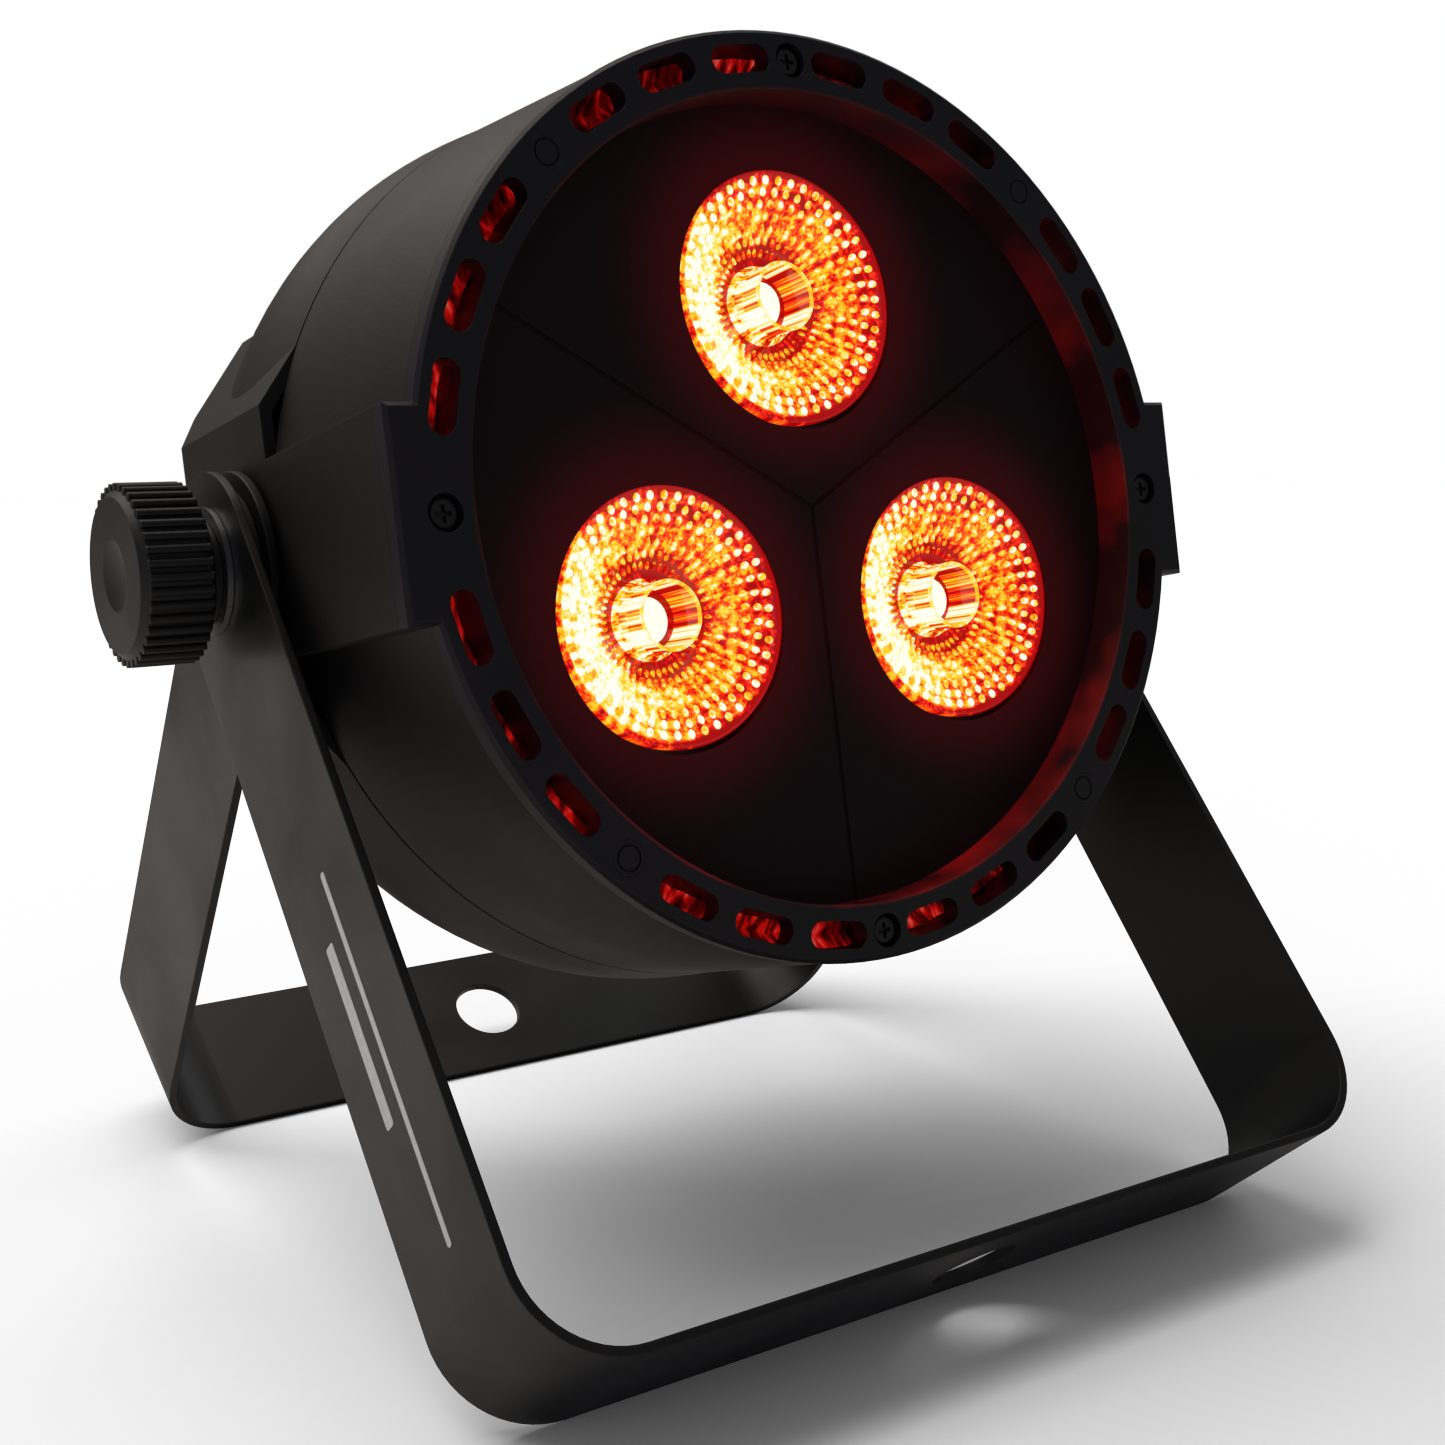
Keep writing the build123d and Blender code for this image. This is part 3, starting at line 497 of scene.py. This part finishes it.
@dataclass(frozen=True)
class LitLens:
    """Clear acrylic with a painted red glow, from a deep red rim through amber to a blown-out white side.

    The pattern reads the piece's own attribute "place": x and z across the lens in lens radii, and
    the radius in y.
    """
    name: str
    glow_part: LensGlow
    strength: float = 1.0
    hot_way: tuple[float, float, float] = (-0.9, 0.0, -0.3)

    def build(self) -> bpy.types.Material:
        """Builds the finish, with its painted glow as emission."""
        material, tree, shader = new_tree(self.name)
        place = add(tree, "ShaderNodeAttribute", {"attribute_name": "place"}).outputs["Vector"]
        split = add(tree, "ShaderNodeSeparateXYZ", links={0: place}).outputs
        levels = GLOW_LEVELS[self.glow_part]
        # Painted glow: the emission is brighter on one blown-out side, in patches and streaks, and darker near the
        # pillar and the rim.
        side = add(tree, "ShaderNodeVectorMath", {"operation": "DOT_PRODUCT", 1: self.hot_way}, {0: place})
        blown = self.band(tree, side.outputs["Value"], -0.1, 0.75, levels.hot_side)
        speck = add(tree, "ShaderNodeTexNoise", {"Scale": 9.0, "Detail": 3.0, "Roughness": 0.7},
                    {"Vector": place})
        patches = self.band(tree, speck.outputs["Fac"], 0.25, 0.75, levels.specks)
        angle = add(tree, "ShaderNodeMath", {"operation": "ARCTAN2"},
                    {0: split["Z"], 1: split["X"]}).outputs[0]
        polar = add(tree, "ShaderNodeCombineXYZ", links={"X": angle, "Y": split["Y"]}).outputs["Vector"]
        longer = add(tree, "ShaderNodeMapping", {"Scale": (14.0, 2.2, 1.0)},
                     {"Vector": polar}).outputs["Vector"]
        streak = add(tree, "ShaderNodeTexNoise", {"Scale": 1.0, "Detail": 2.0}, {"Vector": longer})
        spokes = self.band(tree, streak.outputs["Fac"], 0.3, 0.7, levels.spoke)
        outer = self.band(tree, split["Y"], 0.66, 0.84, levels.outer)
        inner = self.band(tree, split["Y"], 0.56, 0.42, levels.inner)
        rim = self.band(tree, split["Y"], 0.90, 0.97, levels.rim)
        level = blown
        for socket in (patches, spokes, outer, inner, rim):
            level = add(tree, "ShaderNodeMath", {"operation": "ADD"}, {0: level, 1: socket}).outputs[0]
        start = levels.base - (levels.specks + levels.spoke) / 2
        level = add(tree, "ShaderNodeMath", {"operation": "ADD", "use_clamp": True, 1: start},
                    {0: level}).outputs[0]
        hot = ramp(tree, level, [(0.0, srgb("a80004")), (0.14, srgb("f80a0c")), (0.30, srgb("ff5208")),
                                 (0.44, srgb("ffaa12")), (0.64, srgb("ffe02c")), (0.90, srgb("fffff0"))])
        tree.links.new(hot, shader.inputs["Emission Color"])
        shader.inputs["Emission Strength"].default_value = self.strength
        shader.inputs["Base Color"].default_value = srgb("401008")
        shader.inputs["Roughness"].default_value = 0.12
        return material

    @staticmethod
    def band(tree: bpy.types.NodeTree, value: bpy.types.NodeSocket, start: float, end: float,
             gain: float) -> bpy.types.NodeSocket:
        """A smooth rise from 0 at start to gain at end.

        Args:
            tree: the material's node tree.
            value: what it is read from.
            start: the value where it is 0.
            end: the value where it is gain.
            gain: how much it adds.

        Returns:
            The rise's socket.
        """
        made = add(tree, "ShaderNodeMapRange", {"interpolation_type": "SMOOTHSTEP", "From Min": start,
                                                "From Max": end, "To Min": 0.0, "To Max": gain},
                   {"Value": value})
        return made.outputs["Result"]


@dataclass(frozen=True)
class SlotGlow:
    """Painted red glow of the lamp's light inside the housing, seen as dim red streaks through the slots."""
    name: str
    strength: float = 0.6

    def build(self) -> bpy.types.Material:
        """Builds the finish, with its painted glow as emission."""
        material, tree, shader = new_tree(self.name)
        place = add(tree, "ShaderNodeTexCoord").outputs["Object"]
        # Painted glow: streaky red emission stands in for the lamp's light inside the housing.
        patch = add(tree, "ShaderNodeTexNoise", {"Scale": per_mm(14.0), "Detail": 2.0}, {"Vector": place})
        lean = add(tree, "ShaderNodeMapping", {"Rotation": (0.3, 0.7, 0.4), "Scale": (1.0, 0.3, 0.22)},
                   {"Vector": place})
        streak = add(tree, "ShaderNodeTexNoise", {"Scale": per_mm(1.3), "Detail": 3.0},
                     {"Vector": lean.outputs["Vector"]})
        both = add(tree, "ShaderNodeMath", {"operation": "MULTIPLY"},
                   {0: patch.outputs["Fac"], 1: streak.outputs["Fac"]}).outputs[0]
        colour = ramp(tree, both, [(0.16, srgb("100000")), (0.24, srgb("5a0202")), (0.33, srgb("e01410")),
                                   (0.42, srgb("ff6a58"))])
        tree.links.new(colour, shader.inputs["Emission Color"])
        shader.inputs["Emission Strength"].default_value = self.strength
        shader.inputs["Base Color"].default_value = srgb("200404")
        return material


@dataclass(frozen=True)
class PrintedInk:
    """Pale pad-printed ink, slightly uneven."""
    name: str
    base: str = "e9ebec"
    light: str = "f6f7f8"

    def build(self) -> bpy.types.Material:
        """Builds the finish."""
        material, tree, shader = new_tree(self.name)
        place = add(tree, "ShaderNodeTexCoord").outputs["Object"]
        uneven = add(tree, "ShaderNodeTexNoise", {"Scale": per_mm(1.5), "Detail": 4.0}, {"Vector": place})
        colour = ramp(tree, uneven.outputs["Fac"], [(0.35, srgb(self.base)), (0.65, srgb(self.light))])
        tree.links.new(colour, shader.inputs["Base Color"])
        shader.inputs["Roughness"].default_value = 0.5
        return material


@dataclass(frozen=True)
class LitSegment:
    """The display's lit bars."""
    name: str
    glow: str = "ff2010"
    strength: float = 6.0

    def build(self) -> bpy.types.Material:
        """Builds the finish."""
        material, tree, shader = new_tree(self.name)
        place = add(tree, "ShaderNodeTexCoord").outputs["Object"]
        uneven = add(tree, "ShaderNodeTexNoise", {"Scale": per_mm(2.0)}, {"Vector": place})
        colour = ramp(tree, uneven.outputs["Fac"], [(0.3, srgb(self.glow)), (0.8, srgb("ff5a30"))])
        tree.links.new(colour, shader.inputs["Emission Color"])
        shader.inputs["Emission Strength"].default_value = self.strength
        return material


# ------------------------------------------------------------------------------------ sub-assemblies
@dataclass
class CadFinishes:
    """Dresses every CAD node by its material slot."""
    lens_centres: tuple[tuple[float, float, float], ...]

    def finishes_and_glows(self) -> dict:
        """The finish of each slot in the record."""
        axis = tuple(HEAD.back)
        screw = MouldedPlastic("black_oxide_steel", "0c0c0d", "1b1b1d", grain_mm=0.8, roughness=(0.3, 0.42))
        return {
            "yoke_coat": PowderCoat("black_powder_coat", "060606", "0c0c0d"),
            "friction_pad": MouldedPlastic("black_nylon_washer", "0a0a0a", "151515", roughness=(0.6, 0.75)),
            "zinc_steel": WorkedMetal("zinc_plated_steel", "8d8f92", "b6b8bb"),
            "knob_plastic": MouldedPlastic("knob_nylon", "070708", "101012", grain_mm=0.9,
                                           roughness=(0.42, 0.55)),
            "brass_insert": WorkedMetal("turned_brass", "9a7a3c", "c8a45a"),
            "housing_plastic": MouldedPlastic("grained_abs", "0c0b0b", "171514", cloud_mm=40.0,
                                              specular=0.4),
            # The bezel's and the mask's finishes carry a painted red glow of the lamp's light.
            "bezel_plastic": BezelPlastic("fine_grained_abs", "0b0910", "17121d", grain_mm=0.4,
                                          specular=0.4,
                                          grain_depth_mm=0.03, roughness=(0.42, 0.52),
                                          pivot=tuple(HEAD.pivot), axis=axis),
            "black_screw": screw,
            "panel_plastic": PanelPlastic("matte_mask_plastic", "08050a", "120a12", grain_mm=0.5,
                                          specular=0.25,
                                          roughness=(0.62, 0.78), centres=self.lens_centres),
            "standoff_steel": WorkedMetal("plain_steel", "77797c", "a0a2a5"),
            "lens_acrylic": ClearPlastic("clear_acrylic", "f2e8e4"),
            "holder_plastic": MouldedPlastic("lens_holder_nylon", "0c0c0c", "171717"),
            "lamp": PrintedInk("lamp_board_enamel", "d8d8d4", "efeeea"),
            "sink_aluminium": WorkedMetal("extruded_aluminium", "a9abad", "c6c8ca", stretch=25.0),
            "board": CircuitBoard("green_solder_mask"),
            "transformer_tape": MouldedPlastic("yellow_tape", "9a7c1c", "c4a030", grain_mm=1.2),
            "capacitor_sleeve": MouldedPlastic("capacitor_sleeve", "10142c", "1c2244",
                                               roughness=(0.25, 0.35)),
            "rear_plate_coat": PowderCoat("rear_plate_coat", "0d0d0e", "171718", peel_mm=0.9),
            "display_face": MouldedPlastic("display_face", "08080a", "121215", roughness=(0.3, 0.4)),
            "smoked_window": ClearPlastic("smoked_acrylic", "5a1c1a"),
            "mic_steel": WorkedMetal("microphone_can", "8a8a8a", "b0b0b0"),
            "key_plastic": MouldedPlastic("key_rubber", "232427", "33353a", grain_mm=0.5,
                                          roughness=(0.55, 0.7)),
            "socket_nickel": WorkedMetal("dark_nickel", "4c4b48", "6d6b67", roughness=(0.3, 0.45)),
            "contact_brass": WorkedMetal("gold_flashed_contact", "b8923e", "e0bc66", roughness=(0.15, 0.3)),
            "latch_plastic": MouldedPlastic("latch_nylon", "0b0b0b", "161616"),
            "inlet_plastic": MouldedPlastic("inlet_nylon", "0d0d0e", "19191b", roughness=(0.35, 0.5)),
            "fuse_glass": ClearPlastic("fuse_glass", "eef2f2"),
            "eye_steel": WorkedMetal("zinc_plated_wire", "85878a", "aeb0b3"),
        }

    def dress(self) -> None:
        """Gives each CAD node its finish."""
        built = {slot: finish.build() for slot, finish in self.finishes_and_glows().items()}
        for row in frame["record"]["subparts"]:
            node = frame["nodes"][row["node"]]
            node.data.materials.clear()
            node.data.materials.append(built[row["material_slot"]])
            LOG.info("%s: %s", row["node"], built[row["material_slot"]].name)


@dataclass
class Lens:
    """One lit lens: a beaded bowl with a rim, a hollow pillar in the middle and the lamp inside it."""
    name: str
    centre_x: float
    centre_z: float
    radius: float = 22.6
    front_y: float = -53.75
    bowl_r: float = 8.4
    floor_y: float = -45.5
    pillar_r: float = 6.25
    pillar_wall: float = 0.55
    rings: int = 7
    spokes: int = 46
    bead_swirl: float = 0.16
    bead_long: float = 0.5
    bead_high: float = 0.6
    bead_wide: float = 0.24

    def placed(self, bm: bmesh.types.BMesh) -> None:
        """Moves a lens drawn on the head's Y axis to its place in the row frame."""
        bm.transform(HEAD.matrix @ Matrix.Translation(Vector((self.centre_x, 0, self.centre_z)) * MM))

    def finished(self, bm: bmesh.types.BMesh, part: str, material: bpy.types.Material) -> bpy.types.Object:
        """Places a part of the lens, writes its "place" attribute and hands it over.

        Args:
            bm: the part, drawn on the head's Y axis.
            part: the last word of its name.
            material: its finish.

        Returns:
            The finished piece.
        """
        across = [(v.co.x / MM / self.radius, v.co.z / MM / self.radius) for v in bm.verts]
        self.placed(bm)
        made = piece_from(bm, f"lens_{self.name}_{part}", "head", material)
        places = made.data.attributes.new("place", "FLOAT_VECTOR", "POINT")
        places.data.foreach_set("vector", [n for x, z in across for n in (x, hypot(x, z), z)])
        return made

    def slope_y(self, r: float) -> float:
        """The depth of the bowl's wall at a radius, in mm. The wall is a shallow curve."""
        inward = (self.radius - 1.6 - r) / (self.radius - 1.6 - self.bowl_r)
        return self.front_y + 0.5 + (self.floor_y - self.front_y - 0.5) * inward ** 1.25

    def bowl(self, material: bpy.types.Material) -> bpy.types.Object:
        """The rim and the bowl's wall, down to a small floor round the pillar."""
        bm = bmesh.new()
        rim = [(self.radius, self.front_y + 2.0), (self.radius, self.front_y + 0.35),
               (self.radius - 0.35, self.front_y),
               (self.radius - 1.3, self.front_y)]
        steps = 14
        slope_r = self.radius - 1.6
        wall = [slope_r - (slope_r - self.bowl_r) * i / steps for i in range(steps + 1)]
        outline = rim + [(r, self.slope_y(r)) for r in wall] + [(self.pillar_r, self.floor_y),
                                                                (0.0, self.floor_y)]
        turn_profile(bm, outline, 112)
        return self.finished(bm, "bowl", material)

    def beads(self, material: bpy.types.Material) -> bpy.types.Object:
        """Rows of small pillow lenses on the bowl's wall, in rings and spokes."""
        bm = bmesh.new()
        outer, inner = self.radius - 2.3, self.bowl_r + 1.0
        pitch = (outer - inner) / (self.rings - 1)
        step = tau / self.spokes
        for ring in range(self.rings):
            r = outer - pitch * ring
            turn = Matrix.Rotation(-step * self.bead_swirl * ring, 4, "Y")
            place = turn @ Matrix.Translation(Vector((r, self.slope_y(r), 0)) * MM)
            size = Vector((pitch * self.bead_long, self.bead_high, step * r * self.bead_wide)) * MM
            shape = Matrix.Diagonal((*size, 1.0))
            bmesh.ops.create_uvsphere(bm, u_segments=8, v_segments=5, radius=1.0, matrix=place @ shape)
        bmesh.ops.spin(bm, geom=bm.verts[:] + bm.edges[:] + bm.faces[:], cent=(0, 0, 0), axis=(0, 1, 0),
                       dvec=(0, 0, 0), angle=tau - step, steps=self.spokes - 1, use_merge=False,
                       use_duplicate=True)
        return self.finished(bm, "beads", material)

    def pillar(self, material: bpy.types.Material) -> bpy.types.Object:
        """The hollow pillar that stands round the lamp, with a rounded lip and moulded steps."""
        bm = bmesh.new()
        r, wall = self.pillar_r, self.pillar_wall
        lip, base = self.front_y + 0.6, self.floor_y
        outline = [(r + 0.9, base), (r + 0.5, base - 1.5), (r + 0.1, base - 1.7), (r, base - 3.4),
                   (r - 0.25, base - 3.6),
                   (r - 0.2, lip + 0.3), (r - 0.35, lip), (r - wall, lip), (r - wall - 0.15, lip + 0.35),
                   (r - wall - 0.3, base)]
        turn_profile(bm, outline, 72)
        return self.finished(bm, "pillar", material)

    def lip(self, material: bpy.types.Material) -> bpy.types.Object:
        """The pillar's rounded lip, which shows a painted glow as a thin bright ring."""
        bm = bmesh.new()
        middle, y, thick = self.pillar_r - 0.45, self.front_y + 0.62, 0.34
        points = [(middle + thick * cos(tau * i / 10), y + thick * sin(tau * i / 10)) for i in range(11)]
        turn_profile(bm, points, 72)
        return self.finished(bm, "lip", material)

    def lamp(self, material: bpy.types.Material) -> bpy.types.Object:
        """The glowing dome of the lamp, deep in the pillar."""
        bm = bmesh.new()
        flat = Matrix.Translation(Vector((-1.1, self.floor_y - 2.0, -0.3)) * MM) @ Matrix.Diagonal((1,
                                                                                                    0.55,
                                                                                                    1.1, 1))
        bmesh.ops.create_uvsphere(bm, u_segments=24, v_segments=14, radius=3.7 * MM, matrix=flat)
        return self.finished(bm, "lamp", material)


@dataclass
class Lamps:
    """The three lenses behind the mask."""
    names: tuple[str, ...] = ("top", "left", "right")

    def lenses(self) -> list[Lens]:
        """The lenses at the places of their CAD nodes."""
        made = []
        for name in self.names:
            low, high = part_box(f"lens_{name}")
            middle = HEAD.matrix.inverted() @ ((low + high) / 2)
            ring_z = middle.z / MM
            made.append(Lens(name, round(middle.x / MM, 2), ring_z))
        return made

    def centres(self) -> tuple[tuple[float, float, float], ...]:
        """The lens centres in the row frame, at the mask's front."""
        return tuple(tuple(HEAD.at(lens.centre_x, -54.0, lens.centre_z)) for lens in self.lenses())

    def build(self) -> None:
        """Builds each lens and lets its bowl stand for the CAD lens."""
        # Painted glow materials for the lens parts; the lamp's dome is the lamp itself.
        finishes_and_glows = {glow_part: LitLens(f"lit_acrylic_{glow_part.value}", glow_part).build() for glow_part in LensGlow}
        for lens in self.lenses():
            bowl = lens.bowl(finishes_and_glows[LensGlow.BOWL])
            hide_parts(f"lens_{lens.name}")
            lens.beads(finishes_and_glows[LensGlow.BEADS])
            lens.pillar(finishes_and_glows[LensGlow.PILLAR])
            lens.lip(finishes_and_glows[LensGlow.LIP])
            lens.lamp(finishes_and_glows[LensGlow.LAMP])


@dataclass
class SlotGlowRing:
    """A ring behind the bezel's slots that carries a painted red glow of the lamp's light."""
    inner_r: float = 73.0
    outer_r: float = 77.6
    front_y: float = -54.5
    back_y: float = -50.5

    def build(self) -> None:
        """Builds a crinkled ring between the collar and the housing's wall."""
        bm = bmesh.new()
        middle = (self.inner_r + self.outer_r) / 2
        turn_profile(bm, [(self.inner_r, self.back_y), (self.inner_r, self.front_y),
                          (middle, self.front_y + 2.2),
                          (self.outer_r, self.front_y + 0.4), (self.outer_r, self.back_y),
                          (self.inner_r, self.back_y)],
                     240)
        rng = random.Random(7)
        for vert in bm.verts:
            vert.co.y += rng.uniform(-0.45, 0.45) * MM
        bm.transform(HEAD.matrix)
        # The ring carries only the painted glow seen through the slots.
        piece_from(bm, "slot_glow_ring", "head", SlotGlow("painted_slot_glow").build(), smooth=False)


@dataclass
class DisplayDigits:
    """Three lit seven-bar digits behind the smoked window."""
    text: str = "001"
    height: float = 8.0
    width: float = 4.2
    bar: float = 0.9
    pitch: float = 7.0
    bars: dict = field(default_factory=lambda: {"0": "abcdef", "1": "bc"})

    def bar_boxes(self) -> dict[str, tuple[float, float, float, float]]:
        """The centre and size of each bar of a digit, in mm."""
        w, h = self.width / 2, self.height / 2
        across, tall = self.width - self.bar, h - self.bar
        return {"a": (0, h, across, self.bar), "d": (0, -h, across, self.bar),
                "g": (0, 0, across, self.bar),
                "b": (w, h / 2, self.bar, tall), "c": (w, -h / 2, self.bar, tall),
                "f": (-w, h / 2, self.bar, tall), "e": (-w, -h / 2, self.bar, tall)}

    def build(self) -> None:
        """Builds the lit bars, read from behind the head, where +X is on the left."""
        low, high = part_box("display")
        middle = HEAD.matrix.inverted() @ ((low + high) / 2)
        bm = bmesh.new()
        for i, digit in enumerate(self.text):
            digit_x = middle.x / MM + self.pitch * (0.5 - i)
            for name in self.bars[digit]:
                x, z, wide, tall = self.bar_boxes()[name]
                centre = Vector((digit_x - x, 44.62, middle.z / MM + 0.6 + z * 0.98)) * MM
                shape = Matrix.Translation(centre) @ Matrix.Diagonal((wide * MM, 0.2 * MM, tall * MM, 1.0))
                bmesh.ops.create_cube(bm, size=1.0, matrix=shape)
        bmesh.ops.bevel(bm, geom=bm.edges[:], offset=0.08 * MM, offset_type="OFFSET", segments=2,
                        profile=0.5,
                        affect="EDGES", material=-1)
        bm.transform(HEAD.matrix)
        piece_from(bm, "display_digits", "head", LitSegment("lit_segment").build(),
                   smooth=False)


@dataclass
class YokeStripes:
    """Plain pale stripes printed down the outer face of the front yoke's arm."""
    stripes: tuple[tuple[float, float, float, float], ...] = (
        (72.0, 104.0, 2.2, 5.4), (62.0, 126.0, -3.4, -1.8))
    ink: float = 0.05

    def build(self) -> None:
        """Builds each stripe, from its start and end down the arm and its two sides across it, in mm."""
        mount = next(m for m in frame["record"]["mounts"] if m["name"] == "front_yoke_hole")
        down = Vector(mount["axis"])
        along = Matrix((Vector((1, 0, 0)), Vector((0, -down.z, down.y)), -down)).transposed().to_4x4()
        face_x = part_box("front_yoke")[0].x / MM
        bm = bmesh.new()
        for start, end, low, high in self.stripes:
            centre = Vector((face_x - self.ink / 2, (low + high) / 2, -(start + end) / 2)) * MM
            shape = Matrix.Diagonal((self.ink * MM, (high - low) * MM, (end - start) * MM, 1.0))
            bmesh.ops.create_cube(bm, size=1.0, matrix=Matrix.Translation(centre) @ shape)
        upright = [e for e in bm.edges if abs(e.verts[0].co.x - e.verts[1].co.x) > self.ink * MM / 2]
        bmesh.ops.bevel(bm, geom=upright, offset=0.6 * MM, offset_type="OFFSET", segments=4, profile=0.5,
                        affect="EDGES", material=-1)
        bm.transform(Matrix.Translation(HEAD.pivot) @ along)
        piece_from(bm, "front_yoke_stripes", "front_yoke", PrintedInk("pale_ink").build(),
                   smooth=False)


@dataclass
class Studio:
    """A white backdrop, a floor that shows only shadows, soft lights and the camera."""
    camera_from_pivot: tuple[float, float, float] = (-0.2077, -0.3254, 0.0283)
    look: tuple[float, float, float] = (0.5604, 0.8032, -0.2021)
    lens_mm: float = 48.0
    shift: tuple[float, float] = (-0.005, 0.055)
    ambient: float = 0.12
    backdrop: float = 1.0

    def floor(self) -> None:
        """A wide pale floor. It catches shadows and lets the white backdrop show everywhere else."""
        bm = bmesh.new()
        bmesh.ops.create_grid(bm, x_segments=4, y_segments=4, size=3.0)
        mesh = bpy.data.meshes.new("studio_floor")
        bm.to_mesh(mesh)
        bm.free()
        material, tree, shader = new_tree("pale_paper")
        place = add(tree, "ShaderNodeTexCoord").outputs["Object"]
        tone = add(tree, "ShaderNodeTexNoise", {"Scale": per_mm(400.0)}, {"Vector": place})
        colour = ramp(tree, tone.outputs["Fac"], [(0.3, srgb("e6e5e3")), (0.7, srgb("ebeae8"))])
        tree.links.new(colour, shader.inputs["Base Color"])
        shader.inputs["Roughness"].default_value = 0.9
        mesh.materials.append(material)
        floor = bpy.data.objects.new("studio_floor", mesh)
        floor.is_shadow_catcher = True
        bpy.context.scene.collection.objects.link(floor)

    def light(self, name: str, place: tuple[float, float, float], size: float, power: float,
              tint: str) -> None:
        """Adds a soft square light that points at the head.

        Args:
            name: the light's name.
            place: where it stands, in metres.
            size: the length of its side, in metres.
            power: its power in watts.
            tint: its colour.
        """
        lamp = bpy.data.lights.new(name, "AREA")
        lamp.energy, lamp.size, lamp.color = power, size, srgb(tint)[:3]
        holder = bpy.data.objects.new(name, lamp)
        holder.location = place
        holder.rotation_euler = (HEAD.pivot - Vector(place)).to_track_quat("-Z", "Y").to_euler()
        bpy.context.scene.collection.objects.link(holder)

    def build(self) -> None:
        """Builds the floor, the lights, the backdrop and the camera."""
        self.floor()
        self.light("key", (-0.35, 0.6, 1.35), 1.6, 16.0, "fff4ea")
        self.light("fill", (-1.3, -1.2, 0.8), 1.2, 1.5, "cfccff")
        self.light("rim", (1.2, 0.5, 1.0), 1.0, 1.5, "ffffff")
        world = bpy.data.worlds.new("studio")
        world.use_nodes = True
        tree = world.node_tree
        backdrop = tree.nodes["Background"]
        backdrop.inputs["Color"].default_value = srgb("ffffff")
        seen = add(tree, "ShaderNodeLightPath").outputs["Is Camera Ray"]
        level = add(tree, "ShaderNodeMapRange", {"To Min": self.ambient, "To Max": self.backdrop},
                    {"Value": seen})
        tree.links.new(level.outputs["Result"], backdrop.inputs["Strength"])
        bpy.context.scene.world = world
        data = bpy.data.cameras.new("camera")
        data.lens, data.sensor_width = self.lens_mm, 36.0
        data.shift_x, data.shift_y = self.shift
        data.clip_start = 0.01
        camera = bpy.data.objects.new("camera", data)
        camera.location = HEAD.pivot + Vector(self.camera_from_pivot)
        camera.rotation_euler = Vector(self.look).to_track_quat("-Z", "Y").to_euler()
        bpy.context.scene.collection.objects.link(camera)
        bpy.context.scene.camera = camera
        bpy.context.scene.view_settings.view_transform = "Standard"


def main() -> None:
    logging.basicConfig(level=logging.INFO, format="%(name)s %(message)s")
    lamps = Lamps()
    Studio().build()
    CadFinishes(lamps.centres()).dress()
    lamps.build()
    SlotGlowRing().build()
    DisplayDigits().build()
    YokeStripes().build()


if __name__ == "__main__":
    main()
